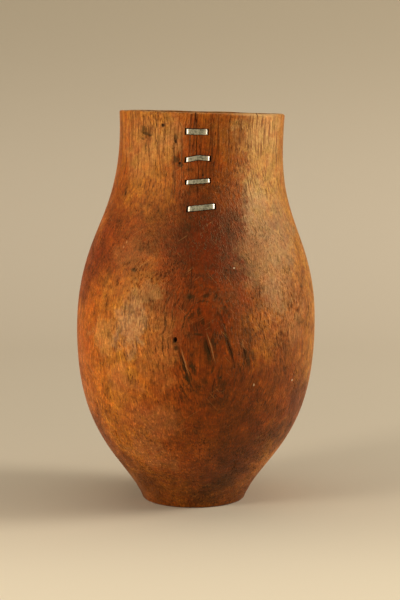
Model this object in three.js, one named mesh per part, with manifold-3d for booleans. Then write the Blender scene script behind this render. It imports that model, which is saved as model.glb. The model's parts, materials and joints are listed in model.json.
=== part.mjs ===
// A milk vessel, carved in one piece from a block of hardwood and hollowed out through its mouth.
// A drying crack runs down its neck. Four flat metal strips hold it shut: each lies across the crack in
// a shallow recess, passes through the wall at both ends, and is clinched over against the inside.
// Millimetres, +Z up. The origin is the centre of the flat foot, and the mended crack faces -Y.

import * as THREE from "three";
import { mergeVertices } from "three/addons/utils/BufferGeometryUtils.js";
import Module from "manifold-3d";

// The outside, from the foot up. A reach is the length of a curve's handle: a longer one is fuller.
const height = 243.5;
const footRadius = 32.6;
const footFlare = 24.8; // degrees from upright, where the side leaves the foot
const footReach = 29.7;
const footEdge = 1.6; // worn round of the foot's edge
const bellyRadius = 74.7;
const bellyHeight = 107.8;
const bellyReachBelow = 67.2;
const bellyReachAbove = 59.5;
const neckRadius = 50.7;
const neckBelowRim = 18;
const neckReachBelow = 51;
const neckReachAbove = 6;
const rimRadius = 51.2;
const rimFlare = 4; // degrees from upright, at the lip
const rimReach = 6;
const lipEdge = 1.4; // worn round of the lip's two edges

// The hollow
const rimWall = 5.5;
const bellyWall = 7;
const floorThickness = 14;
const floorReach = 36;
const hollowReachBelow = 58;

// Carved by eye: the middle of the vessel wanders to +X as it rises, and the rim dips to that side.
const bodyDrift = 3.4; // sideways over the whole height
const neckDrift = 1.9; // more of it, above the shoulder
const shoulderBelowRim = 82;
const rimDip = 1.5; // degrees

// The crack, from the rim down to its tip, as [across, below the rim] places. Across is measured from the
// front of the neck.
const crackWidth = 0.4; // at the rim
const crackLine = [[-3.6, 0], [-2.6, 22.5], [-1.1, 34.3], [-0.9, 48.9], [0.1, 62], [-0.1, 70]];

// A short check in the lip, to the right of the crack
const lipCheckAngle = 40; // degrees round from the front
const lipCheckDepth = 2.2;
const lipCheckWidth = 0.8;

// The strips. A line runs from a strip's left end to its right end in steps of [across, up the wall],
// and drop is how far below the rim its level lies.
const stripThickness = 1;
const stripBend = 0.9; // outer radius where a strip turns into the wall
const stripGap = 0.3; // between a strip and the wood under it, and inside the wall
const recessDepth = 0.6;
const recessMargin = 0.6; // wood cleared around a strip, and around its legs in the wall
const toeLength = 4.5; // what is folded over inside, from the outer side of a leg
const strips = [
  { name: "staple_1", drop: 11.8, width: 3.7, line: [[-9.3, 0], [3.9, 0]] },
  { name: "staple_2", drop: 27.4, width: 3.0, line: [[-8.6, -0.8], [-0.9, 0.7], [5.4, 0.2]] },
  { name: "staple_3", drop: 40.8, width: 2.7, line: [[-7.9, -0.6], [6.0, 0.6]] },
  { name: "staple_4", drop: 56.0, width: 3.5, line: [[-6.2, -0.9], [9.8, 0.9]] },
];

// How finely the round shapes are cut
const roundSteps = 64;
const longCurveSteps = 11;
const shortCurveSteps = 3;
const edgeSteps = 2;
const stripStep = 2.5; // along a strip's face

const wasm = await Module();
wasm.setup();

// A closed geometry as a solid that can be cut.
function solidOf(geometry) {
  const bare = geometry.clone();
  bare.deleteAttribute("normal");
  bare.deleteAttribute("uv");
  const merged = mergeVertices(bare);
  return new wasm.Manifold(
    new wasm.Mesh({
      numProp: 3,
      vertProperties: new Float32Array(merged.attributes.position.array),
      triVerts: new Uint32Array(merged.index.array),
    }),
  );
}

// A solid back as a flat-shaded geometry.
function geometryOf(solid) {
  const mesh = solid.getMesh();
  const geometry = new THREE.BufferGeometry();
  geometry.setAttribute("position", new THREE.BufferAttribute(mesh.vertProperties, 3));
  geometry.setIndex(new THREE.BufferAttribute(mesh.triVerts, 1));
  const flat = geometry.toNonIndexed();
  flat.computeVertexNormals();
  return flat;
}

// Moves every vertex of a geometry to where place(x, y, z) puts it.
function moveVertices(geometry, place) {
  const position = geometry.attributes.position;
  for (let i = 0; i < position.count; i++) {
    position.setXYZ(i, ...place(position.getX(i), position.getY(i), position.getZ(i)));
  }
  return geometry;
}

function smoothStep(share) {
  const t = THREE.MathUtils.clamp(share, 0, 1);
  return t * t * (3 - 2 * t);
}

// From the turned shape to the carved one: the drift of the middle and the dip of the rim.
const shoulderHeight = height - shoulderBelowRim;
function carve(x, y, z) {
  const above = smoothStep((z - shoulderHeight) / shoulderBelowRim);
  const drift = (bodyDrift * z) / height + neckDrift * above;
  return [x + drift, y, z - x * above * Math.tan(THREE.MathUtils.degToRad(rimDip))];
}

// The outline of the turned shape, as [radius, height] points.
const neckHeight = height - neckBelowRim;
const flare = THREE.MathUtils.degToRad(footFlare);
const lipLean = THREE.MathUtils.degToRad(rimFlare);

function curvePoints(steps, ...corners) {
  const ends = corners.map(([radius, level]) => new THREE.Vector2(radius, level));
  return new THREE.CubicBezierCurve(...ends).getPoints(steps);
}

// The outer side, from the foot's rounded edge to the lip's.
function outerSide() {
  const foot = [footRadius, footEdge];
  const lip = [rimRadius, height - lipEdge];
  const lower = curvePoints(
    longCurveSteps,
    foot,
    [foot[0] + footReach * Math.sin(flare), foot[1] + footReach * Math.cos(flare)],
    [bellyRadius, bellyHeight - bellyReachBelow],
    [bellyRadius, bellyHeight],
  );
  const shoulder = curvePoints(
    longCurveSteps,
    [bellyRadius, bellyHeight],
    [bellyRadius, bellyHeight + bellyReachAbove],
    [neckRadius, neckHeight - neckReachBelow],
    [neckRadius, neckHeight],
  );
  const collar = curvePoints(
    shortCurveSteps,
    [neckRadius, neckHeight],
    [neckRadius, neckHeight + neckReachAbove],
    [lip[0] - rimReach * Math.sin(lipLean), lip[1] - rimReach * Math.cos(lipLean)],
    lip,
  );
  return [...lower, ...shoulder.slice(1), ...collar.slice(1)];
}

// The inner side, from the middle of the floor to the lip's rounded edge.
function innerSide() {
  const belly = bellyRadius - bellyWall;
  const neck = neckRadius - rimWall;
  const bowl = curvePoints(
    longCurveSteps,
    [0, floorThickness],
    [floorReach, floorThickness],
    [belly, bellyHeight - hollowReachBelow],
    [belly, bellyHeight],
  );
  const shoulder = curvePoints(
    longCurveSteps,
    [belly, bellyHeight],
    [belly, bellyHeight + bellyReachAbove],
    [neck, neckHeight - neckReachBelow],
    [neck, neckHeight],
  );
  return [...bowl, ...shoulder.slice(1), new THREE.Vector2(rimRadius - rimWall, height - lipEdge)];
}

// A rounded edge: a quarter circle about [radius, level], from one angle to another, without its two ends.
function edgePoints(radius, level, round, from, to) {
  const points = [];
  for (let i = 1; i < edgeSteps; i++) {
    const angle = THREE.MathUtils.degToRad(from + ((to - from) * i) / edgeSteps);
    points.push(new THREE.Vector2(radius + round * Math.cos(angle), level + round * Math.sin(angle)));
  }
  return points;
}

const outside = outerSide();
const inside = innerSide();

function turnedVessel() {
  const lipLevel = height - lipEdge;
  const profile = [
    new THREE.Vector2(0, 0),
    new THREE.Vector2(footRadius - footEdge, 0),
    ...edgePoints(footRadius - footEdge, footEdge, footEdge, -90, 0),
    ...outside,
    ...edgePoints(rimRadius - lipEdge, lipLevel, lipEdge, 0, 90),
    new THREE.Vector2(rimRadius - lipEdge, height),
    new THREE.Vector2(rimRadius - rimWall + lipEdge, height),
    ...edgePoints(rimRadius - rimWall + lipEdge, lipLevel, lipEdge, 90, 180),
    ...inside.toReversed(),
  ];
  return new THREE.LatheGeometry(profile, roundSteps).rotateX(Math.PI / 2);
}

// The point of the outer side at a height, with the directions up along the wall and out of it.
function wallAt(level) {
  let i = 1;
  while (i < outside.length - 1 && outside[i].y < level) i++;
  const [low, high] = [outside[i - 1], outside[i]];
  const point = low.clone().lerp(high, (level - low.y) / (high.y - low.y));
  const up = high.clone().sub(low).normalize();
  const out = new THREE.Vector2(up.y, -up.x);
  return { point, up, out, thickness: thicknessAt(point) };
}

// How far the inner side is from a point of the outer one.
function thicknessAt(point) {
  let nearest = Infinity;
  for (let i = 1; i < inside.length; i++) {
    const piece = inside[i].clone().sub(inside[i - 1]);
    const share = THREE.MathUtils.clamp(point.clone().sub(inside[i - 1]).dot(piece) / piece.lengthSq(), 0, 1);
    nearest = Math.min(nearest, point.distanceTo(inside[i - 1].clone().addScaledVector(piece, share)));
  }
  return nearest;
}

// Bends a flat drawing round the wall: x runs across the front, y into the wood, z up along the wall.
function wrapRound(wall, x, y, z) {
  const radius = wall.point.x + z * wall.up.x - y * wall.out.x;
  const level = wall.point.y + z * wall.up.y - y * wall.out.y;
  const angle = x / wall.point.x;
  return [radius * Math.sin(angle), -radius * Math.cos(angle), level];
}

// How far up the wall a strip's line is at a place across the front.
function lineHeight(line, across) {
  let i = 1;
  while (i < line.length - 1 && line[i][0] < across) i++;
  const [[x0, z0], [x1, z1]] = [line[i - 1], line[i]];
  return z0 + ((z1 - z0) * (across - x0)) / (x1 - x0);
}

// Places from one side to the other, close enough together to follow the curve of the wall.
function placesBetween(from, to) {
  const count = Math.max(1, Math.ceil(Math.abs(to - from) / stripStep));
  return Array.from({ length: count + 1 }, (_, i) => from + ((to - from) * i) / count);
}

// A flat outline, extruded to a strip's width along its line and bent round the wall.
function alongStrip(strip, wall, outline, width) {
  const drawn = new THREE.Shape(outline.map(([x, y]) => new THREE.Vector2(x, y)));
  const plate = new THREE.ExtrudeGeometry(drawn, { depth: width, bevelEnabled: false });
  return moveVertices(plate, (x, y, z) => {
    const up = lineHeight(strip.line, x) + z - width / 2;
    return carve(...wrapRound(wall, x, y, up));
  });
}

// One strip: its face in the recess, its two legs through the wall, and its toes folded in under them.
function stripGeometry(strip, wall) {
  const [left, right] = [strip.line[0][0], strip.line.at(-1)[0]];
  const seat = recessDepth - stripGap;
  const top = seat - stripThickness;
  const toeOuter = wall.thickness + stripGap;
  const toeInner = toeOuter + stripThickness;
  const under = placesBetween(left + stripThickness, right - stripThickness).map((x) => [x, seat]);
  const face = placesBetween(right - stripBend, left + stripBend).map((x) => [x, top]);
  const corner = stripBend * (1 - Math.SQRT1_2);
  const outline = [
    [left, toeInner],
    [left + toeLength, toeInner],
    [left + toeLength, toeOuter],
    [left + stripThickness, toeOuter],
    ...under,
    [right - stripThickness, toeOuter],
    [right - toeLength, toeOuter],
    [right - toeLength, toeInner],
    [right, toeInner],
    [right, top + stripBend],
    [right - corner, top + corner],
    ...face,
    [left + corner, top + corner],
    [left, top + stripBend],
  ];
  return alongStrip(strip, wall, outline, strip.width);
}

// The wood cut away for one strip: the recess for its face and the two slots for its legs.
function recessGeometry(strip, wall) {
  const [left, right] = [strip.line[0][0] - recessMargin, strip.line.at(-1)[0] + recessMargin];
  const slotWidth = stripThickness + 2 * recessMargin;
  const proud = -stripThickness - recessMargin;
  const deep = wall.thickness + 2 * stripThickness;
  const between = placesBetween(left + slotWidth, right - slotWidth);
  const back = placesBetween(right, left);
  const outline = [
    [left, deep],
    [left + slotWidth, deep],
    ...between.map((x) => [x, recessDepth]),
    [right - slotWidth, deep],
    [right, deep],
    ...back.map((x) => [x, proud]),
  ];
  return alongStrip(strip, wall, outline, strip.width + 2 * recessMargin);
}

// The crack: a thin blade through the front wall, which follows its line and narrows to its tip.
function crackGeometry() {
  const overRim = 5;
  const [atRim, ...below] = crackLine;
  const length = below.at(-1)[1];
  const sideAt = (side) => ([across, drop]) => {
    const half = (crackWidth / 2) * (1 - (drop / length) ** 2);
    return new THREE.Vector2(across + side * half, height - drop);
  };
  const top = [atRim[0], atRim[1] - overRim];
  const left = [top, ...below].map(sideAt(-1));
  const right = [top, ...below.slice(0, -1)].map(sideAt(1));
  const drawn = new THREE.Shape([...left, ...right.toReversed()]);
  const blade = new THREE.ExtrudeGeometry(drawn, { depth: bellyRadius, bevelEnabled: false });
  blade.rotateX(Math.PI / 2);
  return moveVertices(blade, carve);
}

// The short check in the lip: a small wedge, point down, through the wall at the rim.
function lipCheckGeometry() {
  const drawn = new THREE.Shape([
    new THREE.Vector2(0, height - lipCheckDepth),
    new THREE.Vector2(lipCheckWidth, height + lipCheckDepth),
    new THREE.Vector2(-lipCheckWidth, height + lipCheckDepth),
  ]);
  const wedge = new THREE.ExtrudeGeometry(drawn, { depth: 2 * rimWall, bevelEnabled: false });
  wedge.rotateX(Math.PI / 2).translate(0, -(rimRadius - 1.5 * rimWall), 0);
  wedge.rotateZ(THREE.MathUtils.degToRad(lipCheckAngle));
  return moveVertices(wedge, carve);
}

const oiledWood = new THREE.MeshStandardMaterial({ color: 0x8f4f22, roughness: 0.5, metalness: 0 });
const dullMetal = new THREE.MeshStandardMaterial({ color: 0xa8a595, roughness: 0.45, metalness: 0.9 });

function namedMesh(name, geometry, material) {
  const mesh = new THREE.Mesh(geometry, material);
  mesh.name = name;
  return mesh;
}

const vessel = new THREE.Group();
let wood = solidOf(moveVertices(turnedVessel(), carve));
for (const strip of strips) {
  const wall = wallAt(height - strip.drop);
  wood = wood.subtract(solidOf(recessGeometry(strip, wall)));
  vessel.add(namedMesh(strip.name, stripGeometry(strip, wall), dullMetal));
}
wood = wood.subtract(solidOf(crackGeometry())).subtract(solidOf(lipCheckGeometry()));
vessel.add(namedMesh("carved_body", geometryOf(wood), oiledWood));

export default vessel;
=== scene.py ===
# %% [markdown]
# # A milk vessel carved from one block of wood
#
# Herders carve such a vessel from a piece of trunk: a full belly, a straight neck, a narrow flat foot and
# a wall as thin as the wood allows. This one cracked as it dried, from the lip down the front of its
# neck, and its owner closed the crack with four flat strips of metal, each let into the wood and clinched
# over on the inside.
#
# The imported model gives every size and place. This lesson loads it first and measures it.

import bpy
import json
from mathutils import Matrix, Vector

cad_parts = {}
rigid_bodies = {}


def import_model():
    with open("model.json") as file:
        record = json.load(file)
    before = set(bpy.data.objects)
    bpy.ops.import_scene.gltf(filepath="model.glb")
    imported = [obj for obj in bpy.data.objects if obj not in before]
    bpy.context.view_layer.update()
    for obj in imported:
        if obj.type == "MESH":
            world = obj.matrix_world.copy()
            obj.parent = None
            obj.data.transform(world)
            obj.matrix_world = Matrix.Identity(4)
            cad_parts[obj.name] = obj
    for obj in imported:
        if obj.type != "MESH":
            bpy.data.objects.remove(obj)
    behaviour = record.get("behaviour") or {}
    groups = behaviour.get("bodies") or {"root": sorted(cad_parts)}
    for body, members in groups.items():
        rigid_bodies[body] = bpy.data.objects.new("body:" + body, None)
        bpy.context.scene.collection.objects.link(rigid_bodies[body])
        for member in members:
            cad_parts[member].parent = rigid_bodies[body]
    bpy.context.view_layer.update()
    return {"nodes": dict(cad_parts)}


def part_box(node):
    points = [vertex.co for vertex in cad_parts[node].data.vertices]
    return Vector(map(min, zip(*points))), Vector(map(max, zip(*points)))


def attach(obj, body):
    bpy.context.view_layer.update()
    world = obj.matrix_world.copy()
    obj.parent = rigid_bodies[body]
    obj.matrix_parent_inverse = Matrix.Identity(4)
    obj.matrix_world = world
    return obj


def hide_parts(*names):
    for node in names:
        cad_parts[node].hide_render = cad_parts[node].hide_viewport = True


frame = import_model()
print("nodes:", ", ".join(frame["nodes"]))

# %% [markdown]
# Blender measures in metres and the carver's sizes are easier in millimetres, so the shapes are made in
# millimetres and brought to metres when each piece is finished. The seed of every bit of unevenness is a
# place in space, so each run gives the same vessel.

# %% Tools and units
import json
import math
import random

import bmesh
import bpy
from mathutils import Matrix, Vector, noise
from mathutils.geometry import interpolate_bezier

MM = 0.001
scene = bpy.context.scene
scene.view_settings.view_transform = "Standard"

# %% [markdown]
# The camera stands about a metre away, a little above the rim, and looks 7 degrees down. Only the thin
# far edge of the mouth shows over the near one. A long lens keeps the belly from swelling towards us.
# The picture is 400 pixels wide and 600 tall, and the lens is given by its focal length in pixels of
# that picture, because the sensor's 36 mm lie along the picture's long side.

# %% Camera
PICTURE_HEIGHT = 600
FOCAL_PIXELS = 1623.3
SENSOR = 36.0
CAMERA_PLACE = (4.1, -1013.0, 251.03)
LOOKS_DOWN = 7.05

camera_data = bpy.data.cameras.new("camera")
camera_data.sensor_width = SENSOR
camera_data.lens = FOCAL_PIXELS * SENSOR / PICTURE_HEIGHT
camera = bpy.data.objects.new("camera", camera_data)
camera.location = Vector(CAMERA_PLACE) * MM
camera.rotation_euler = (math.radians(90 - LOOKS_DOWN), 0, 0)
scene.collection.objects.link(camera)
scene.camera = camera
print("lens: %.1f mm" % camera_data.lens)

# %% [markdown]
# Every colour is written as the sRGB hex value that a painter would pick, and one function turns it into
# the linear numbers that the shaders need. One more function adds a node: its properties are set by
# name, and its sockets take either a value or another node's output.

# %% Colours and nodes
def colour(hex_code):
    """An sRGB hex value as a linear red, green, blue and alpha."""
    shares = [int(hex_code[i : i + 2], 16) / 255 for i in (0, 2, 4)]
    return [s / 12.92 if s <= 0.04045 else ((s + 0.055) / 1.055) ** 2.4 for s in shares] + [1]


def add_node(tree, kind, sockets=None, **settings):
    """Adds a node of a kind. A socket, by its name or number, takes a value or another node's output."""
    made = tree.nodes.new(kind)
    for name, value in settings.items():
        setattr(made, name, value)
    for socket, value in (sockets or {}).items():
        if isinstance(value, bpy.types.NodeSocket):
            tree.links.new(value, made.inputs[socket])
        else:
            made.inputs[socket].default_value = value
    return made


def new_material(name):
    """An empty material, and its node tree."""
    material = bpy.data.materials.new(name)
    material.use_nodes = True
    material.node_tree.nodes.clear()
    return material, material.node_tree


# %% [markdown]
# ## The studio
#
# The vessel stands on a sheet of pale paper that curves up behind it, as in a photographer's studio, so
# there is no edge between the floor and the wall. The sheet is one edge, swept round the curve with spin
# and pulled sideways with extrude.

# %% Paper sweep
SWEEP_WIDTH = 4000
SWEEP_FRONT = -1700
SWEEP_BACK = 1500
SWEEP_RADIUS = 900
SWEEP_TOP = 3200


def only(kind, geom):
    """The points, edges or faces among what an operator made."""
    return [part for part in geom if isinstance(part, kind)]


def finish_mesh(bm, name, smooth=True):
    """Brings a mesh from millimetres to metres and makes an object of it, at the origin."""
    bmesh.ops.scale(bm, vec=(MM, MM, MM), verts=bm.verts)
    mesh = bpy.data.meshes.new(name)
    bm.to_mesh(mesh)
    bm.free()
    mesh.polygons.foreach_set("use_smooth", [smooth] * len(mesh.polygons))
    made = bpy.data.objects.new(name, mesh)
    scene.collection.objects.link(made)
    return made


def paper_sweep():
    """A floor that curves up into a wall."""
    bm = bmesh.new()
    ends = [bm.verts.new((side * SWEEP_WIDTH / 2, SWEEP_FRONT, 0)) for side in (-1, 1)]
    edge = bm.edges.new(ends)
    moved = only(bmesh.types.BMVert, bmesh.ops.extrude_edge_only(bm, edges=[edge])["geom"])
    bmesh.ops.translate(bm, vec=(0, SWEEP_BACK - SWEEP_RADIUS - SWEEP_FRONT, 0), verts=moved)
    last = [e for e in bm.edges if all(v in moved for v in e.verts)]
    centre = (0, SWEEP_BACK - SWEEP_RADIUS, SWEEP_RADIUS)
    curved = bmesh.ops.spin(
        bm, geom=moved + last, cent=centre, axis=(1, 0, 0), angle=math.pi / 2, steps=24, use_duplicate=False
    )["geom_last"]
    wall = bmesh.ops.extrude_edge_only(bm, edges=only(bmesh.types.BMEdge, curved))["geom"]
    bmesh.ops.translate(bm, vec=(0, 0, SWEEP_TOP - SWEEP_RADIUS), verts=only(bmesh.types.BMVert, wall))
    bm.normal_update()
    if sum(face.normal.z for face in bm.faces) < 0:
        bmesh.ops.reverse_faces(bm, faces=bm.faces)
    return finish_mesh(bm, "paper_sweep")


sweep = paper_sweep()
print("sweep:", len(sweep.data.polygons), "faces")

# %% [markdown]
# Uncoated paper hardly shines. Its colour carries painted shade where the light would fall off: it is a
# little deeper where it rises behind the vessel, palest in front of it, and deeper again towards the
# camera, where the vessel's front mirrors it. Map Range nodes measure how far up or forward a place is, and
# each one mixes two colours. Seen from its back the paper is clear, so that it doesn't block a view from
# behind the vessel.

# %% Paper
paper, paper_tree = new_material("warm_paper")
paper_place = add_node(paper_tree, "ShaderNodeTexCoord").outputs["Object"]
paper_axes = add_node(paper_tree, "ShaderNodeSeparateXYZ", {0: paper_place}).outputs
# painted shade: the paper is deeper in colour up the wall and towards the camera
rise = add_node(
    paper_tree,
    "ShaderNodeMapRange",
    {"Value": paper_axes["Z"], "From Min": 0.05, "From Max": 0.42},
    interpolation_type="SMOOTHSTEP",
).outputs[0]
front = add_node(
    paper_tree,
    "ShaderNodeMapRange",
    {"Value": paper_axes["Y"], "From Min": 0.02, "From Max": -0.24},
    interpolation_type="SMOOTHSTEP",
).outputs[0]
back = add_node(
    paper_tree,
    "ShaderNodeMapRange",
    {"Value": paper_axes["Y"], "From Min": 0.2, "From Max": 0.75},
    interpolation_type="SMOOTHSTEP",
).outputs[0]
floor_tint = add_node(
    paper_tree, "ShaderNodeMix", {"Factor": back, 6: colour("CABFA9"), 7: colour("D0C4AE")}, data_type="RGBA"
).outputs[2]
wall_tint = add_node(
    paper_tree, "ShaderNodeMix", {"Factor": rise, 6: floor_tint, 7: colour("B7AB94")}, data_type="RGBA"
).outputs[2]
far_front = add_node(
    paper_tree,
    "ShaderNodeMapRange",
    {"Value": paper_axes["Y"], "From Min": -0.26, "From Max": -0.7},
    interpolation_type="SMOOTHSTEP",
).outputs[0]
front_tint = add_node(
    paper_tree,
    "ShaderNodeMix",
    {"Factor": far_front, 6: colour("EADEC3"), 7: colour("B8AD96")},
    data_type="RGBA",
).outputs[2]
paper_tint = add_node(
    paper_tree, "ShaderNodeMix", {"Factor": front, 6: wall_tint, 7: front_tint}, data_type="RGBA"
).outputs[2]
# Under the lamps, out at its two sides, the paper would be too bright, so it is deeper in colour there too.
sideways = add_node(paper_tree, "ShaderNodeMath", {0: paper_axes["X"]}, operation="ABSOLUTE").outputs[0]
sides = add_node(
    paper_tree,
    "ShaderNodeMapRange",
    {"Value": sideways, "From Min": 0.34, "From Max": 1.3},
    interpolation_type="SMOOTHSTEP",
).outputs[0]
paper_tint = add_node(
    paper_tree, "ShaderNodeMix", {"Factor": sides, 6: paper_tint, 7: colour("80765F")}, data_type="RGBA"
).outputs[2]
matte = add_node(
    paper_tree,
    "ShaderNodeBsdfPrincipled",
    {"Base Color": paper_tint, "Roughness": 0.9, "Specular IOR Level": 0.1},
)
clear = add_node(paper_tree, "ShaderNodeBsdfTransparent")
behind = add_node(paper_tree, "ShaderNodeNewGeometry").outputs["Backfacing"]
one_sided = add_node(paper_tree, "ShaderNodeMixShader", {0: behind, 1: matte.outputs[0], 2: clear.outputs[0]})
add_node(paper_tree, "ShaderNodeOutputMaterial", {"Surface": one_sided.outputs[0]})
sweep.data.materials.append(paper)
print("paper nodes:", len(paper_tree.nodes))

# %% [markdown]
# Two soft boxes light the vessel from its sides. The one on the right is the stronger: it lies along the
# right of the neck and shoulder as a long sheen and throws the shadow to the left. The one on the left
# warms the other flank. They stand far enough away to light the floor evenly. A third, large and weak,
# hangs overhead, and a dim, even world fills the rest. Where the camera or a reflection looks past the
# paper, it sees a plain beige room instead.

# %% Lights
def soft_box(name, place, target, size, power, tint):
    """A rectangular lamp that faces a target."""
    data = bpy.data.lights.new(name, "AREA")
    data.shape = "RECTANGLE"
    data.size, data.size_y = size[0] * MM, size[1] * MM
    data.energy = power
    data.color = colour(tint)[:3]
    lamp = bpy.data.objects.new(name, data)
    lamp.location = Vector(place) * MM
    towards = Vector(target) - Vector(place)
    lamp.rotation_euler = towards.to_track_quat("-Z", "Y").to_euler()
    scene.collection.objects.link(lamp)


LAMPS = [
    # name, place, what it faces, width and height, watts, tint
    ("key", (1780, -60, 820), (0, 0, 140), (560, 1250), 32, "FFF7EC"),
    ("fill", (-1350, -840, 560), (0, 0, 120), (480, 620), 16, "FFF6EA"),
    ("top", (0, 100, 2200), (0, -100, 0), (2200, 1600), 11, "FFF8EE"),
]
for lamp in LAMPS:
    soft_box(*lamp)

world = bpy.data.worlds.new("studio")
world.use_nodes = True
world.node_tree.nodes.clear()
world_tree = world.node_tree
soft_light = add_node(world_tree, "ShaderNodeBackground", {"Color": colour("FFF5E8"), "Strength": 0.28})
seen_room = add_node(world_tree, "ShaderNodeBackground", {"Color": colour("B2A68C"), "Strength": 1.0})
ray = add_node(world_tree, "ShaderNodeLightPath").outputs
seen = add_node(
    world_tree, "ShaderNodeMath", {0: ray["Is Camera Ray"], 1: ray["Is Glossy Ray"]}, operation="MAXIMUM"
).outputs[0]
seen = add_node(
    world_tree, "ShaderNodeMath", {0: seen, 1: ray["Is Transmission Ray"]}, operation="MAXIMUM"
).outputs[0]
sky = add_node(
    world_tree, "ShaderNodeMixShader", {0: seen, 1: soft_light.outputs[0], 2: seen_room.outputs[0]}
)
add_node(world_tree, "ShaderNodeOutputWorld", {"Surface": sky.outputs[0]})
scene.world = world
print("lamps:", len(LAMPS))

# %% [markdown]
# ## The outline
#
# The vessel's side is three Bezier curves: the foot opens into the belly, the belly closes into the
# neck, and the neck ends in a lip that flares a little. The inner side follows at the thickness of the
# wall. The height and the widths come from the imported model. How full each curve is was fitted to the
# outline by measure, and is written as the length of the curve's handle.

# %% Outline curves
body_low, body_high = (corner / MM for corner in map(Vector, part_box("carved_body")))
RIM_DIP = math.radians(1.5)
RIM_RADIUS = 51.2
HEIGHT = body_high.z - RIM_RADIUS * math.tan(RIM_DIP)
BELLY_RADIUS = (body_high.x - body_low.x) / 2
FOOT_RADIUS, FOOT_FLARE, FOOT_EDGE = 32.6, math.radians(24.8), 1.6
BELLY_HEIGHT = 107.8
COLLAR = 18
NECK_RADIUS, NECK_HEIGHT = 50.7, HEIGHT - COLLAR
LIP_FLARE, LIP_EDGE = math.radians(4), 1.4
RIM_WALL, BELLY_WALL, FLOOR = 5.5, 7.0, 14.0
# the lengths of the handles, from the foot up outside, and on the floor and under the belly inside
FOOT_HANDLE, BELLY_LOW, BELLY_HIGH, NECK_HANDLE, LIP_HANDLE = 29.7, 67.2, 59.5, 51, 6
FLOOR_HANDLE, BOWL_HANDLE = 36, 58
print("height %.1f, belly radius %.1f" % (HEIGHT, BELLY_RADIUS))


def curve(steps, *corners):
    """Points along a Bezier curve, whose four corners are [radius, height] pairs."""
    knots = [Vector((radius, 0, level)) for radius, level in corners]
    return interpolate_bezier(knots[0], knots[1], knots[2], knots[3], steps + 1)


def outer_side(steps):
    """The outer side from the foot to the lip."""
    foot, lip = (FOOT_RADIUS, FOOT_EDGE), (RIM_RADIUS, HEIGHT - LIP_EDGE)
    belly, neck = (BELLY_RADIUS, BELLY_HEIGHT), (NECK_RADIUS, NECK_HEIGHT)
    out_of_foot = (foot[0] + FOOT_HANDLE * math.sin(FOOT_FLARE), foot[1] + FOOT_HANDLE * math.cos(FOOT_FLARE))
    into_lip = (lip[0] - LIP_HANDLE * math.sin(LIP_FLARE), lip[1] - LIP_HANDLE * math.cos(LIP_FLARE))
    lower = curve(steps, foot, out_of_foot, (belly[0], belly[1] - BELLY_LOW), belly)
    shoulder = curve(steps, belly, (belly[0], belly[1] + BELLY_HIGH), (neck[0], neck[1] - NECK_HANDLE), neck)
    collar = curve(steps // 6, neck, (neck[0], neck[1] + LIP_HANDLE), into_lip, lip)
    return lower + shoulder[1:] + collar[1:]


def inner_side(steps):
    """The inner side from the middle of the floor to the lip."""
    belly, neck = (BELLY_RADIUS - BELLY_WALL, BELLY_HEIGHT), (NECK_RADIUS - RIM_WALL, NECK_HEIGHT)
    lip = (RIM_RADIUS - RIM_WALL, HEIGHT - LIP_EDGE)
    bowl = curve(steps, (0, FLOOR), (FLOOR_HANDLE, FLOOR), (belly[0], belly[1] - BOWL_HANDLE), belly)
    shoulder = curve(steps, belly, (belly[0], belly[1] + BELLY_HIGH), (neck[0], neck[1] - NECK_HANDLE), neck)
    return bowl + shoulder[1:] + curve(steps // 6, neck, neck, lip, lip)[1:]


def rounded_edge(radius, level, round_by, start, end, steps=5):
    """The points of a worn edge: an arc about [radius, level] between two angles, without its ends."""
    angles = [math.radians(start + (end - start) * i / steps) for i in range(1, steps)]
    return [Vector((radius + round_by * math.cos(a), 0, level + round_by * math.sin(a))) for a in angles]


outer, inner = outer_side(84), inner_side(40)
print("outline points:", len(outer), "outside,", len(inner), "inside")

# %% [markdown]
# A hand-carved vessel isn't a turned one. Its middle wanders to one side as it rises, its rim dips, and
# the adze and the scraper leave shallow swells that only a sheen shows. The turned shape is made first,
# and one function then moves every point of it to its carved place. Everything that is let into the wood
# goes through the same function, so it stays in line with it.

# %% From the turned shape to the carved one
NECK_LENGTH = 82
SHOULDER_HEIGHT = HEIGHT - NECK_LENGTH
BODY_DRIFT, NECK_DRIFT = 3.4, 1.9
LIP_WORN_FROM = 9


def smooth_step(share):
    """A share from 0 to 1 that starts and ends gently."""
    share = min(max(share, 0), 1)
    return share * share * (3 - 2 * share)


def carve(point):
    """A point of the turned shape, drifted and dipped as the vessel is."""
    above = smooth_step((point.z - SHOULDER_HEIGHT) / (HEIGHT - SHOULDER_HEIGHT))
    drift = BODY_DRIFT * point.z / HEIGHT + NECK_DRIFT * above
    return Vector((point.x + drift, point.y, point.z - point.x * above * math.tan(RIM_DIP)))


def tool_swell(point):
    """How far the carver's tool left the surface proud at a point, in millimetres."""
    broad = noise.noise(Vector((point.x / 34, point.y / 34, point.z / 52)))
    narrow = noise.noise(Vector((point.x / 9 + 7, point.y / 9, point.z / 21)))
    return 0.3 * broad + 0.09 * narrow


def lip_wear(point):
    """How far the lip is worn down at a point, in millimetres."""
    near_top = smooth_step((point.z - HEIGHT + LIP_WORN_FROM) / LIP_WORN_FROM)
    return near_top * (0.35 * noise.noise(Vector((point.x / 22, point.y / 22, 3))) - 0.2)


print("drift at the lip: %.1f mm" % carve(Vector((0, 0, HEIGHT))).x)


# %% [markdown]
# The body is spun from its outline: a chain of edges from the middle of the foot, up the outer side,
# over the lip and down the inner side to the middle of the floor. Spin closes the turn, and the points
# that it leaves on top of each other in the two middles are merged. Then each point is carved. The foot
# stays flat, because the vessel stands on it.

# %% Body
ROUND_STEPS = 232


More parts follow.
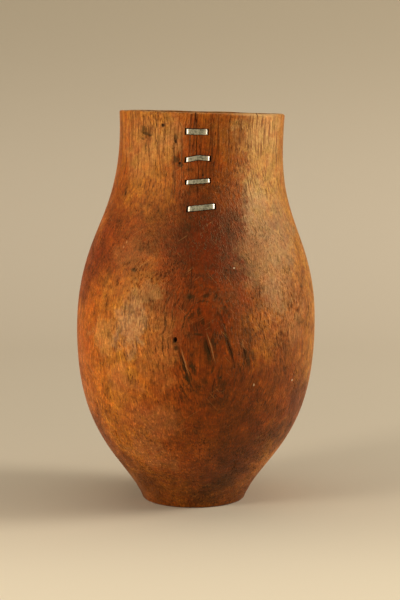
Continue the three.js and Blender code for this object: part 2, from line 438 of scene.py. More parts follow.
def body_outline():
    """The whole outline: up the outer side, over the lip and down the inner side."""
    lip_level = HEIGHT - LIP_EDGE
    return (
        [Vector((0, 0, 0)), Vector((FOOT_RADIUS * 0.5, 0, 0)), Vector((FOOT_RADIUS - FOOT_EDGE, 0, 0))]
        + rounded_edge(FOOT_RADIUS - FOOT_EDGE, FOOT_EDGE, FOOT_EDGE, -90, 0)
        + outer
        + rounded_edge(RIM_RADIUS - LIP_EDGE, lip_level, LIP_EDGE, 0, 90)
        + [Vector((RIM_RADIUS - LIP_EDGE, 0, HEIGHT)), Vector((RIM_RADIUS - RIM_WALL / 2, 0, HEIGHT))]
        + [Vector((RIM_RADIUS - RIM_WALL + LIP_EDGE, 0, HEIGHT))]
        + rounded_edge(RIM_RADIUS - RIM_WALL + LIP_EDGE, lip_level, LIP_EDGE, 90, 180)
        + inner[::-1]
    )


def spun_body():
    """The outline, spun round the middle."""
    bm = bmesh.new()
    corners = [bm.verts.new(point) for point in body_outline()]
    for first, second in zip(corners, corners[1:]):
        bm.edges.new((first, second))
    bmesh.ops.spin(
        bm,
        geom=bm.verts[:] + bm.edges[:],
        cent=(0, 0, 0),
        axis=(0, 0, 1),
        angle=math.tau,
        steps=ROUND_STEPS,
        use_merge=True,
        use_duplicate=False,
    )
    bmesh.ops.remove_doubles(bm, verts=bm.verts, dist=0.001)
    bmesh.ops.recalc_face_normals(bm, faces=bm.faces)
    return bm


def carve_body(bm):
    """Moves each point to its carved place, with the swells that the tools left."""
    bm.normal_update()
    swells = {v: v.normal * tool_swell(v.co) * smooth_step(v.co.z / 12) for v in bm.verts}
    for vertex, swell in swells.items():
        moved = vertex.co + swell
        moved.z += lip_wear(vertex.co)
        vertex.co = carve(moved)


bm = spun_body()
carve_body(bm)
body = finish_mesh(bm, "vessel_body")
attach(body, "root")
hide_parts("carved_body")
print("body:", len(body.data.polygons), "faces")


# %% [markdown]
# ## The mend
#
# Each strip was bent on a bench, pushed through two slots in the wall and folded over inside. It is made
# the same way here: a flat section is pulled along the toe, turned round each bend with spin, and pulled
# along the face, so the bends are round and the metal keeps its thickness. On the bench x runs across the
# front of the vessel, y into the wood and z up the wall.

# %% The wall under the mend
FACE_SINKS = 0.3
STRIP_THICKNESS = 1.0
STRIP_BEND = 1.25
TOE_LENGTH = 4.5
LEG_GAP = 0.3
STRIPS = {
    # how far below the rim, width, line as [across, up] from end to end
    "staple_1": (11.8, 3.3, ((-9.2, 0.2), (3.5, 0.2))),
    "staple_2": (27.4, 2.8, ((-8.6, -0.8), (-0.9, 0.7), (5.4, 0.2))),
    "staple_3": (40.8, 2.5, ((-7.9, -0.6), (6.0, 0.6))),
    "staple_4": (56.0, 3.2, ((-6.2, -0.9), (9.8, 0.9))),
}


def wall_at(drop):
    """A point of the outer side so far below the rim, and the directions up along the wall and out of it."""
    level = HEIGHT - drop
    low, high = next(pair for pair in zip(outer, outer[1:]) if pair[1].z >= level)
    up = (high - low).normalized()
    return low.lerp(high, (level - low.z) / (high.z - low.z)), up, Vector((up.z, 0, -up.x))


def wall_thickness(drop):
    """The shortest way through the wall, so far below the rim."""
    point = wall_at(drop)[0]
    steps = [low.lerp(high, share / 8) for low, high in zip(inner, inner[1:]) for share in range(9)]
    return min((point - step).length for step in steps)


def put_on_wall(bm, drop):
    """Bends what lies on the bench round the wall, and moves it as the vessel is carved."""
    point, up, out = wall_at(drop)
    for vertex in bm.verts:
        across, depth, rise = vertex.co
        angle = across / point.x
        radius = point.x + rise * up.x - depth * out.x
        level = point.z + rise * up.z - depth * out.z
        vertex.co = carve(Vector((radius * math.sin(angle), -radius * math.cos(angle), level)))


for name, (drop, width, line) in STRIPS.items():
    print(name, "lies on a wall of %.1f mm" % wall_thickness(drop))

# %% [markdown]
# A strip's line isn't straight: the second one is kinked and the others rise to one side, so each section
# slides up or down to that line. The hammer left shallow dents in the faces, and the metal is a little
# wider where it was struck flat. The two bends get a painted glint, brighter metal where their round sides
# catch the side lamps, so each point also keeps how near it is to one, for the metal's material to read.

# %% Strips
GLINT_TO, GLINT_FADE = 2.3, 1.3


def line_rise(line, across):
    """How far a strip's line is above its middle at a place across the front."""
    left, right = next((pair for pair in zip(line, line[1:]) if pair[1][0] >= across), line[-2:])
    return left[1] + (right[1] - left[1]) * (across - left[0]) / (right[0] - left[0])


def strip_section(width, start):
    """The strip's section at the tip of its toe: a thin rectangle with worn corners, as a loop of edges."""
    bm = bmesh.new()
    loop = bmesh.ops.create_grid(bm, x_segments=1, y_segments=6, size=0.5)["verts"]
    bmesh.ops.scale(bm, vec=(STRIP_THICKNESS, width, 1), verts=loop)
    bmesh.ops.dissolve_faces(bm, faces=bm.faces)
    corners = [v for v in bm.verts if abs(v.co.y) > width / 2 - 0.01]
    bmesh.ops.bevel(bm, geom=corners, affect="VERTICES", offset=0.28, segments=3, profile=0.5, material=-1)
    bmesh.ops.delete(bm, geom=bm.faces[:], context="FACES_ONLY")
    bmesh.ops.rotate(bm, cent=(0, 0, 0), matrix=Matrix.Rotation(math.tau / 3, 3, (1, 1, 1)), verts=bm.verts)
    bmesh.ops.translate(bm, vec=start, verts=bm.verts)
    return bm


def pull(bm, loop, way, steps):
    """Extrudes a loop of edges along a straight way, in steps."""
    for _ in range(steps):
        made = bmesh.ops.extrude_edge_only(bm, edges=loop)["geom"]
        tips = only(bmesh.types.BMVert, made)
        bmesh.ops.translate(bm, vec=way / steps, verts=tips)
        loop = [edge for edge in only(bmesh.types.BMEdge, made) if all(v in tips for v in edge.verts)]
    return loop


def turn(bm, loop, centre, quarter):
    """Spins a loop of edges a quarter turn round an upright line."""
    geom = loop + list(dict.fromkeys(v for edge in loop for v in edge.verts))
    last = bmesh.ops.spin(
        bm, geom=geom, cent=centre, axis=(0, 0, 1), angle=quarter * math.pi / 2, steps=7, use_duplicate=False
    )["geom_last"]
    return only(bmesh.types.BMEdge, last)


def strip_mesh(drop, width, line):
    """A strip on the bench: toe, leg, face, leg and toe, with a bend between each two."""
    left, right = line[0][0], line[-1][0]
    half = STRIP_THICKNESS / 2
    face_level = FACE_SINKS - half
    toe_level = wall_thickness(drop) + LEG_GAP + half
    bend = STRIP_BEND - half
    leg = toe_level - face_level - 2 * bend
    bm = strip_section(width, (left + TOE_LENGTH, toe_level, 0))
    first = bm.edges[:]
    loop = pull(bm, first, Vector((half + bend - TOE_LENGTH, 0, 0)), 5)
    loop = turn(bm, loop, (left + half + bend, toe_level - bend, 0), 1)
    loop = pull(bm, loop, Vector((0, -leg, 0)), 6)
    loop = turn(bm, loop, (left + half + bend, face_level + bend, 0), 1)
    loop = pull(bm, loop, Vector((right - left - 2 * (half + bend), 0, 0)), 22)
    loop = turn(bm, loop, (right - half - bend, face_level + bend, 0), 1)
    loop = pull(bm, loop, Vector((0, leg, 0)), 6)
    loop = turn(bm, loop, (right - half - bend, toe_level - bend, 0), 1)
    last = pull(bm, loop, Vector((half + bend - TOE_LENGTH, 0, 0)), 5)
    bmesh.ops.edgeloop_fill(bm, edges=first)
    bmesh.ops.edgeloop_fill(bm, edges=last)
    bmesh.ops.recalc_face_normals(bm, faces=bm.faces)
    return bm


def hammer(bm, line, seed):
    """Dents the metal, tapers its toes and slides it up to its line."""
    bm.normal_update()
    for vertex in bm.verts:
        spot = Vector((vertex.co.x / 1.5, vertex.co.y / 1.5 + seed, vertex.co.z / 1.5))
        dent = 0.11 * noise.noise(spot) + 0.05 * noise.noise(spot * 2.3)
        vertex.co += vertex.normal * (dent - 0.05)
        vertex.co.z *= 1 + 0.09 * noise.noise(Vector((vertex.co.x / 3, seed, 0)))
        vertex.co.z += line_rise(line, vertex.co.x)


for seed, (name, (drop, width, line)) in enumerate(STRIPS.items()):
    bm = strip_mesh(drop, width, line)
    ends = (line[0][0], line[-1][0])
    from_bend = [min(abs(v.co.x - end) for end in ends) for v in bm.verts]
    # how much of the painted glint each point takes, near a bend
    bend_glint = [smooth_step((GLINT_TO - away) / GLINT_FADE) for away in from_bend]
    hammer(bm, line, 9 * seed)
    put_on_wall(bm, drop)
    piece = finish_mesh(bm, name.replace("staple", "mending_strip"))
    piece.data.attributes.new("bend_glint", "FLOAT", "POINT").data.foreach_set("value", bend_glint)
    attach(piece, "root")
    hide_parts(name)
    print(piece.name, len(piece.data.polygons), "faces")

# %% [markdown]
# ## Cuts and marks in the wood
#
# The recess for each strip was cut with a knife, a little larger than the strip and never quite straight.
# Its two slots go through the wall. The cutter is the outline of that room, drawn once as a face,
# extruded to the strip's width, divided with bisect_plane and then made uneven. It goes round the wall
# with the same function as the strip, so the two stay together.

# %% Recesses and slots
RECESS_DEPTH = 0.62
SIDE_ROOM, END_ROOM, LEG_ROOM = 0.3, 0.85, 0.4
CUTS_FROM, CUTS_PAST = 2.5, 3


def divide(bm, across_places, rise_places):
    """Cuts a mesh with upright and level planes, so that it can follow a curve."""
    for normal, places in (((1, 0, 0), across_places), ((0, 0, 1), rise_places)):
        for place in places:
            geom = bm.verts[:] + bm.edges[:] + bm.faces[:]
            bmesh.ops.bisect_plane(bm, geom=geom, plane_co=Vector(normal) * place, plane_no=normal)


def extruded(outline, low, high):
    """A closed block: an outline in x and y, pulled up from low to high."""
    bm = bmesh.new()
    face = bm.faces.new([bm.verts.new((x, y, low)) for x, y in outline])
    made = bmesh.ops.extrude_face_region(bm, geom=[face])["geom"]
    bmesh.ops.translate(bm, vec=(0, 0, high - low), verts=only(bmesh.types.BMVert, made))
    bmesh.ops.recalc_face_normals(bm, faces=bm.faces)
    return bm


def recess_cutter(name, seed):
    """The room that a strip needs: its recess, a slot for each leg, and the knife's unevenness."""
    drop, width, line = STRIPS[name]
    left, right = line[0][0] - END_ROOM, line[-1][0] + END_ROOM
    slot = END_ROOM + STRIP_THICKNESS + LEG_ROOM
    deep = wall_thickness(drop) + CUTS_PAST
    half = width / 2 + SIDE_ROOM
    outline = [(left, -CUTS_FROM), (left, deep), (left + slot, deep), (left + slot, RECESS_DEPTH)]
    outline += [(right - slot, RECESS_DEPTH), (right - slot, deep), (right, deep), (right, -CUTS_FROM)]
    bm = extruded(outline, -half, half)
    count = round((right - left) / 0.8)
    divide(bm, [left + (right - left) * i / count for i in range(1, count)], [-half / 2, 0, half / 2])
    for vertex in bm.verts:
        x, y, z = vertex.co
        uneven = noise.noise(Vector((x / 1.9, seed, 3 * math.copysign(1, z)))) + 0.25
        # the lower side fits the strip more closely than the upper one
        vertex.co.z += (math.copysign(0.34 * uneven, z) + (0.12 if z < 0 else 0.04)) * abs(z) / half
        if x < left + 0.01 or x > right - 0.01:
            vertex.co.x += 0.35 * noise.noise(Vector((z / 1.3, seed + 4, x)))
        vertex.co.z += line_rise(line, x)
    put_on_wall(bm, drop)
    return bm


def join(target, bm):
    """Adds one mesh to another, and frees it."""
    held = bpy.data.meshes.new("held")
    bm.to_mesh(held)
    target.from_mesh(held)
    bpy.data.meshes.remove(held)
    bm.free()


marks = bmesh.new()
for seed, name in enumerate(STRIPS):
    join(marks, recess_cutter(name, 5.3 * seed))
print("recess cutters:", len(marks.faces), "faces")

# %% [markdown]
# The wood has its own marks. A knot fell out of the neck on the left and left a shallow scar, knocks left
# others, an insect bored a round hole in the belly, and a few pits show near the lip. Each is a small ball,
# squeezed and roughened. The scars are worn as smooth as the rest and keep the oiled wood's finish. The
# pits are cut out with the recesses.

# %% Scars and pits
SCARS = [
    # across, below the rim, half width, depth, half height, roughness
    (-37.6, 13.4, 2.2, 0.5, 2.6, 0.45),
    (-34.4, 15.4, 2.6, 0.5, 1.3, 0.4),
    (-12.6, 26.0, 1.2, 0.4, 4.4, 0.4),
    (-45.2, 72.9, 2.2, 0.4, 3.0, 0.5),
    (24.0, 213.0, 3.4, 0.35, 5.0, 0.5),
    (-52.0, 196.0, 2.2, 0.4, 5.0, 0.5),
    (70.0, 120.0, 3.0, 0.4, 4.0, 0.5),
    (150.0, 60.0, 3.5, 0.5, 5.0, 0.5),
    (-140.0, 150.0, 3.0, 0.5, 6.0, 0.5),
]
PITS = [
    # the same, and the fifth is the insect's hole
    (-23.9, 8.2, 0.9, 0.9, 1.0, 0.2),
    (-15.2, 17.6, 0.5, 0.7, 1.1, 0.2),
    (-12.2, 30.1, 0.8, 0.7, 0.9, 0.2),
    (1.9, 36.9, 0.6, 0.7, 0.6, 0.2),
    (-11.9, 131.9, 1.0, 3.0, 1.5, 0.12),
    (-51.3, 49.1, 0.6, 0.5, 1.2, 0.2),
]


def pit(across, drop, half_width, depth, half_height, rough):
    """A rough ball, squeezed, that takes a scar or a pit out of the wall."""
    bm = bmesh.new()
    bmesh.ops.create_icosphere(bm, subdivisions=3, radius=1)
    for vertex in bm.verts:
        vertex.co *= 1 + rough * noise.noise(vertex.co * 1.7 + Vector((across, drop, 0)))
    bmesh.ops.scale(bm, vec=(half_width, depth, half_height), verts=bm.verts)
    bmesh.ops.translate(bm, vec=(across, 0, 0), verts=bm.verts)
    put_on_wall(bm, drop)
    return bm


scars = bmesh.new()
for scar in SCARS:
    join(scars, pit(*scar))
for mark in PITS:
    join(marks, pit(*mark))
print("scars:", len(SCARS), "pits:", len(PITS))

# %% [markdown]
# A pore that the scraper opened is a short slit along the grain. The neck's front has a few dozen, most of
# them near the lip, strewn by chance but clear of the strips, the pits and each other. The splits down the
# belly are longer slits, and some lean, so they have a table. A slit is two cones, base to base.

# %% Pores and splits
PORES, PORES_SEED = 34, 11
PORES_ACROSS, PORES_TOP, PORES_REACH = (-34, 30), 4, 40
PORE_LENGTHS = (2.4, 6)
MEND_MIDDLE, MEND_ROOM = -2.7, 9.5
SIDE_BY_SIDE, ABOVE = 4, 6.5


def slit(across, drop, length, half_width=0.24, lean=0.0):
    """An open pore or a split: a slit along the grain, pointed at both ends. It may lean to one side."""
    bm = bmesh.new()
    bmesh.ops.create_cone(bm, segments=6, radius1=1, radius2=0, depth=1, cap_ends=True)
    bmesh.ops.translate(bm, vec=(0, 0, 0.5), verts=bm.verts)
    base = [f for f in bm.faces if len(f.verts) == 6]
    tips = only(bmesh.types.BMVert, bmesh.ops.extrude_face_region(bm, geom=base)["geom"])
    bmesh.ops.delete(bm, geom=base, context="FACES_ONLY")
    bmesh.ops.translate(bm, vec=(0, 0, -1), verts=tips)
    bmesh.ops.scale(bm, vec=(0.1, 0.1, 1), verts=tips)
    bmesh.ops.scale(bm, vec=(half_width, 0.6, length / 2), verts=bm.verts)
    divide(bm, [], [length * (share / 8 - 0.5) for share in range(1, 8)])
    for vertex in bm.verts:
        wander = 0.5 * noise.noise(Vector((across, drop, vertex.co.z / 4)))
        vertex.co.x += across - lean * vertex.co.z + wander
    bmesh.ops.recalc_face_normals(bm, faces=bm.faces)
    put_on_wall(bm, drop)
    return bm


chance = random.Random(PORES_SEED)
taken = [(MEND_MIDDLE, drop, MEND_ROOM) for drop, _, _ in STRIPS.values()]
taken += [(mark[0], mark[1], SIDE_BY_SIDE) for mark in PITS + SCARS]
pores = 0
while pores < PORES:
    across = chance.uniform(*PORES_ACROSS)
    drop = PORES_TOP + PORES_REACH * chance.random() ** 2
    length = chance.uniform(*PORE_LENGTHS)
    clear = all(abs(across - a) > room or abs(drop - d) > ABOVE for a, d, room in taken)
    if clear and drop > length:
        join(marks, slit(across, drop, length))
        taken.append((across, drop, SIDE_BY_SIDE))
        pores += 1

SPLITS = [
    # across, below the rim, length, half width, lean
    (-6.6, 147, 23, 0.3, 0.3),
    (7.6, 137, 19, 0.28, 0.29),
    (20.2, 137, 24, 0.34, 0.34),
    (29.8, 140.5, 16, 0.3, 0.26),
    (11.0, 158, 9, 0.25, -0.2),
    (-2.8, 92, 22, 0.22, 0.02),
    (-24.0, 138, 8, 0.22, 0.1),
    (40.0, 120, 10, 0.22, -0.08),
    (170.0, 130, 20, 0.3, 0.1),
    (-190.0, 96, 16, 0.28, -0.1),
]
for split in SPLITS:
    join(marks, slit(*split))
print("pores:", pores, "splits:", len(SPLITS))

# %% [markdown]
# A check is a short split at the end of the grain, here in the lip to the right of the strips. It is a
# wedge across the wall, open at the top and almost closed at the bottom.

# %% The lip's check
CHECK_ANGLE, CHECK_DEPTH, CHECK_WIDTH = math.radians(40), 2.2, 0.7
CHECK_ABOVE, CHECK_TIP = 2, 0.08

across_lip = 3 * RIM_WALL
corners = [(-CHECK_WIDTH, across_lip), (CHECK_WIDTH, across_lip), (CHECK_WIDTH, 0), (-CHECK_WIDTH, 0)]
check = extruded(corners, -CHECK_DEPTH, CHECK_ABOVE)
low_corners = [v for v in check.verts if v.co.z < 0]
bmesh.ops.scale(check, vec=(CHECK_TIP, 1, 1), verts=low_corners)
bmesh.ops.translate(check, vec=(0, -RIM_RADIUS - RIM_WALL, HEIGHT), verts=check.verts)
bmesh.ops.rotate(check, cent=(0, 0, 0), matrix=Matrix.Rotation(CHECK_ANGLE, 3, "Z"), verts=check.verts)
for vertex in check.verts:
    vertex.co = carve(vertex.co)
join(marks, check)
print("all cutters:", len(marks.faces), "faces")

# %% [markdown]
# The crack runs from the lip down past the last strip. It is a hairline with ragged sides, open at the lip
# and closing to nothing at its end. The cutter is a thin blade: a grid, stood up along the crack's line,
# divided finely, whose two sides each wander on their own. It zigzags through the wall too, as torn wood
# does, so little light shows through it.

# %% Crack
# across and below the rim, from over the lip to the end
CRACK_LINE = ((-3.6, -4), (-2.6, 22.5), (-1.1, 34.3), (-0.9, 48.9), (0.1, 62), (-0.1, 70))
CRACK_WIDTH = 0.42
CRACK_LENGTH = 70
BLADE_DEPTH, BLADE_MIDDLE, BLADE_OVER = 36, -50, 4


def crack_blade():
    """The blade that cuts the crack, from over the lip down to the crack's end."""
    bm = bmesh.new()
    grid = bmesh.ops.create_grid(bm, x_segments=24, y_segments=148, size=0.5)["verts"]
    bmesh.ops.scale(bm, vec=(BLADE_DEPTH, CRACK_LENGTH + BLADE_OVER, 1), verts=grid)
    bmesh.ops.rotate(bm, cent=(0, 0, 0), matrix=Matrix.Rotation(math.pi / 2, 3, "X"), verts=bm.verts)
    bmesh.ops.rotate(bm, cent=(0, 0, 0), matrix=Matrix.Rotation(math.pi / 2, 3, "Z"), verts=bm.verts)
    middle = HEIGHT + BLADE_OVER - (CRACK_LENGTH + BLADE_OVER) / 2
    bmesh.ops.translate(bm, vec=(0, BLADE_MIDDLE, middle), verts=bm.verts)
    made = bmesh.ops.extrude_face_region(bm, geom=bm.faces[:])["geom"]
    one_side = set(only(bmesh.types.BMVert, made))
    for vertex in bm.verts:
        drop = HEIGHT - vertex.co.z
        side = 1 if vertex in one_side else -1
        stretches = zip(CRACK_LINE, CRACK_LINE[1:])
        above, below = next((pair for pair in stretches if pair[1][1] >= drop), CRACK_LINE[-2:])
        across = above[0] + (below[0] - above[0]) * (drop - above[1]) / (below[1] - above[1])
        wander = 0.3 * noise.noise(Vector((0, drop / 5, 2))) + 0.12 * noise.noise(Vector((0, drop / 1.4, 5)))
        zigzag = 0.9 * noise.noise(Vector((vertex.co.y / 2.6, drop / 14, 4)))
        ragged = 1 + 0.7 * noise.noise(Vector((vertex.co.y / 3, drop / 2.2, 8 * side)))
        closing = 1 - 0.85 * max(drop / CRACK_LENGTH, 0) ** 2
        vertex.co.x = across + wander + zigzag + side * CRACK_WIDTH / 2 * ragged * closing
        vertex.co = carve(vertex.co)
    bmesh.ops.recalc_face_normals(bm, faces=bm.faces)
    return bm


blade = crack_blade()
print("crack blade:", len(blade.faces), "faces")

# %% [markdown]
# A Boolean modifier takes the cutters out of the body. The faces that it makes keep the cutters' own
# material, the dark, unpolished wood inside a cut: dirty, because oil and hands never reach there, and
# darkened further with painted shade in the slots, the recesses and the crack. The result is made the
# body's own mesh, so nothing is left to compute. Its cut edges are marked sharp, so that the smooth shading
# of the wall stops at them.

# %% Cut the body
SHARPEST_SMOOTH = math.radians(38)
wood, wood_tree = new_material("oiled_hardwood")
cut_wood, cut_tree = new_material("dark_cut_wood_dirt_and_shade")


def cut(target, bm, name, finish):
    """Takes a mesh out of an object, and gives the cut faces a finish."""
    cutter = finish_mesh(bm, name, smooth=finish == wood)
    cutter.data.materials.append(finish)
    step = target.modifiers.new("cut", "BOOLEAN")
    step.operation, step.solver, step.material_mode = "DIFFERENCE", "MANIFOLD", "TRANSFER"
    step.object = cutter
    result = bpy.data.meshes.new_from_object(target.evaluated_get(bpy.context.evaluated_depsgraph_get()))
    target.modifiers.clear()
    target.data = result
    bpy.data.objects.remove(cutter)


body.data.materials.append(wood)
cut(body, scars, "scars", wood)
cut(body, marks, "marks", cut_wood)
cut(body, blade, "blade", cut_wood)
body.data.set_sharp_from_angle(angle=SHARPEST_SMOOTH)
cut_faces = sum(1 for face in body.data.polygons if body.data.materials[face.material_index] == cut_wood)
print("body after the cuts:", len(body.data.polygons), "faces,", cut_faces, "of them in the cuts")

# %% [markdown]
# The wood inside the vessel looks different: milk and smoke stained it, and no hand polished it. One
# number on each point says how far inside it is, from 0 on the outer side to 1 on the inner one, with the
# change on the lip, and the material reads that number.

# %% Inside and outside
INSIDE_FROM, INSIDE_FADE = 1.5, 2.5


def inside_share(point):
    """0 on the outer side, 1 on the inner side, from where a point lies across the wall."""
    x, y, z = point / MM
    above = smooth_step((z - SHOULDER_HEIGHT) / (HEIGHT - SHOULDER_HEIGHT))
    level = z + x * above * math.tan(RIM_DIP)
    radius = math.hypot(x - BODY_DRIFT * level / HEIGHT - NECK_DRIFT * above, y)
    if level < FLOOR - 2:  # nothing so low is inside
        return 0
    wall = next((high.x for high in outer if high.z >= level), RIM_RADIUS)
    return smooth_step((wall - radius - INSIDE_FROM) / INSIDE_FADE)


inside = body.data.attributes.new("inside", "FLOAT", "POINT")
inside.data.foreach_set("value", [inside_share(vertex.co) for vertex in body.data.vertices])
print("points inside:", sum(1 for value in inside.data if value.value > 0.5))

# %% [markdown]
# ## The wood
#
# All patterns in the wood are solid, as in a real block: they are worked out from the place in space, in
# millimetres, so the outline cuts through them as the carver's adze did. Object coordinates are in metres,
# so they are scaled by 1000 first.
#
# The trunk's heart ran upright, some 40 mm behind the vessel's middle. The distance from it gives the
# yearly rings, which a slow noise bends, because no trunk is a perfect cylinder. They are faint here: what
# the eye sees first is the upright fibres, and the short dark pores between them.

# %% Wood: rings and fibres
PITH = (6, 40)

place = add_node(wood_tree, "ShaderNodeTexCoord").outputs["Object"]
in_mm = add_node(wood_tree, "ShaderNodeVectorMath", {0: place, "Scale": 1 / MM}, operation="SCALE").outputs[0]


def moved_about(wander, by):
    """The place in millimetres, moved by a noise: by at most half of these lengths each way."""
    half_back = [-length / 2 for length in by]
    shift = add_node(
        wood_tree, "ShaderNodeVectorMath", {0: wander, 1: by, 2: half_back}, operation="MULTIPLY_ADD"
    ).outputs[0]
    return add_node(wood_tree, "ShaderNodeVectorMath", {0: in_mm, 1: shift}, operation="ADD").outputs[0]


def streaks(space, across, along, detail, roughness=0.5):
    """A noise whose grains are so many millimetres across, and so many long up the trunk."""
    scale = (1 / across, 1 / across, 1 / along)
    squeezed = add_node(
        wood_tree, "ShaderNodeVectorMath", {0: space, 1: scale}, operation="MULTIPLY"
    ).outputs[0]
    return add_node(
        wood_tree,
        "ShaderNodeTexNoise",
        {"Vector": squeezed, "Scale": 1, "Detail": detail, "Roughness": roughness},
    ).outputs[0]


# One bend of the grain is about 60 mm long and moves it by up to 4 mm or so.
bend = add_node(
    wood_tree, "ShaderNodeTexNoise", {"Vector": in_mm, "Scale": 1 / 60, "Detail": 1.5}
).outputs["Color"]
grown = moved_about(bend, (18, 18, 0))

from_pith = add_node(
    wood_tree,
    "ShaderNodeVectorMath",
    {0: grown, 1: (1, 1, 0), 2: (-PITH[0], -PITH[1], 0)},
    operation="MULTIPLY_ADD",
).outputs[0]
ring_radius = add_node(wood_tree, "ShaderNodeVectorMath", {0: from_pith}, operation="LENGTH").outputs["Value"]
# Rings are about 1.6 mm wide, uneven from year to year.
rings = add_node(
    wood_tree,
    "ShaderNodeTexNoise",
    {"W": ring_radius, "Scale": 1 / 1.6, "Detail": 2, "Roughness": 0.6},
    noise_dimensions="1D",
).outputs[0]

# Fibre bundles are about 2 mm wide and 40 mm long, and single fibres 0.9 mm wide and 12 mm long.
bundles = streaks(grown, 2.2, 40, 2, 0.6)
fibres = streaks(grown, 0.85, 12, 2, 0.7)
print("wood patterns: rings, bundles and fibres")

# %% [markdown]
# Pores are dark dashes about 0.4 mm wide and 3 mm long, where their noise is highest. They come in flocks
# 12 mm or so across, so a slower noise raises or lowers it. Two flocks on the belly and one under the lip
# are the densest. The left of the shoulder and the rest of the neck have few. A flock is a soft spot, and
# so are the stains and marks that follow, so one function works out how much of a spot is seen.

# %% Wood: pores
def spot_share(space, middle, reach, strength):
    """How much of a soft spot is seen at a place."""
    scale = [1 / length for length in reach]
    offset = [-where / length for where, length in zip(middle, reach)]
    near = add_node(
        wood_tree, "ShaderNodeVectorMath", {0: space, 1: scale, 2: offset}, operation="MULTIPLY_ADD"
    ).outputs[0]
    away = add_node(wood_tree, "ShaderNodeVectorMath", {0: near}, operation="LENGTH").outputs["Value"]
    return add_node(
        wood_tree,
        "ShaderNodeMapRange",
        {"Value": away, "From Min": 1.15, "From Max": 0.45, "To Max": strength},
        interpolation_type="SMOOTHSTEP",
    ).outputs[0]


FLOCKS = [
    # middle, reach each way in mm, weight: two on the belly, one under the lip, one thin one
    ((-37, -63, 119), (20, 22, 20), 0.1),
    ((56, -48, 128), (18, 26, 26), 0.05),
    ((-22, -44, 238), (36, 24, 11), 0.08),
    ((-26, -56, 168), (20, 24, 16), -0.07),
]

pore_noise = streaks(grown, 0.75, 3.6, 1.5)
flocks = add_node(wood_tree, "ShaderNodeTexNoise", {"Vector": in_mm, "Scale": 1 / 12, "Detail": 2}).outputs[0]
pore_level = add_node(
    wood_tree, "ShaderNodeMath", {0: flocks, 1: 0.4, 2: pore_noise}, operation="MULTIPLY_ADD"
).outputs[0]
for middle, reach, weight in FLOCKS:
    pore_level = add_node(
        wood_tree,
        "ShaderNodeMath",
        {0: pore_level, 1: spot_share(in_mm, middle, reach, weight)},
        operation="ADD",
    ).outputs[0]
wood_axes = add_node(wood_tree, "ShaderNodeSeparateXYZ", {0: in_mm}).outputs
on_neck = add_node(
    wood_tree,
    "ShaderNodeMapRange",
    {"Value": wood_axes["Z"], "From Min": 170, "From Max": 205},
    interpolation_type="SMOOTHSTEP",
).outputs[0]
pore_level = add_node(
    wood_tree, "ShaderNodeMath", {0: on_neck, 1: -0.07, 2: pore_level}, operation="MULTIPLY_ADD"
).outputs[0]
pores_seen = add_node(
    wood_tree,
    "ShaderNodeMapRange",
    {"Value": pore_level, "From Min": 0.78, "From Max": 0.93},
    interpolation_type="SMOOTHSTEP",
).outputs[0]
print("flocks of pores:", len(FLOCKS))

# %% [markdown]
# The wood's own colour runs from a warm tan to a deep red brown. Fibres, bundles and rings mix the two.
# A mottle, cloudy at 10 mm and speckled at 2 mm, stands for the way that oil sinks in unevenly.

# %% Wood: its own colour
# On the neck the upright lines are the strongest, on the belly the mottle.
grain_sum = add_node(
    wood_tree, "ShaderNodeMath", {0: rings, 1: 0.4, 2: fibres}, operation="MULTIPLY_ADD"
).outputs[0]
bundle_weight = add_node(
    wood_tree, "ShaderNodeMath", {0: on_neck, 1: 0.4, 2: 0.6}, operation="MULTIPLY_ADD"
).outputs[0]
grain_sum = add_node(
    wood_tree, "ShaderNodeMath", {0: bundles, 1: bundle_weight, 2: grain_sum}, operation="MULTIPLY_ADD"
).outputs[0]
mottle = add_node(
    wood_tree, "ShaderNodeTexNoise", {"Vector": in_mm, "Scale": 1 / 10, "Detail": 5, "Roughness": 0.68}
).outputs[0]
mottle_weight = add_node(
    wood_tree, "ShaderNodeMath", {0: on_neck, 1: -0.64, 2: 1.7}, operation="MULTIPLY_ADD"
).outputs[0]
grain_sum = add_node(
    wood_tree, "ShaderNodeMath", {0: mottle, 1: mottle_weight, 2: grain_sum}, operation="MULTIPLY_ADD"
).outputs[0]
grain_share = add_node(
    wood_tree, "ShaderNodeMapRange", {"Value": grain_sum, "From Min": 1.45, "From Max": 2.25}
).outputs[0]
# Hands smoothed the neck most, so its streaks are softer.
soft = add_node(wood_tree, "ShaderNodeMath", {0: on_neck, 1: 0.3}, operation="MULTIPLY").outputs[0]
grain_share = add_node(wood_tree, "ShaderNodeMix", {"Factor": soft, 2: grain_share, 3: 0.5}).outputs[0]
wood_colour = add_node(
    wood_tree,
    "ShaderNodeMix",
    {"Factor": grain_share, 6: colour("E48E2C"), 7: colour("86420C")},
    data_type="RGBA",
).outputs[2]
print("wood nodes so far:", len(wood_tree.nodes))
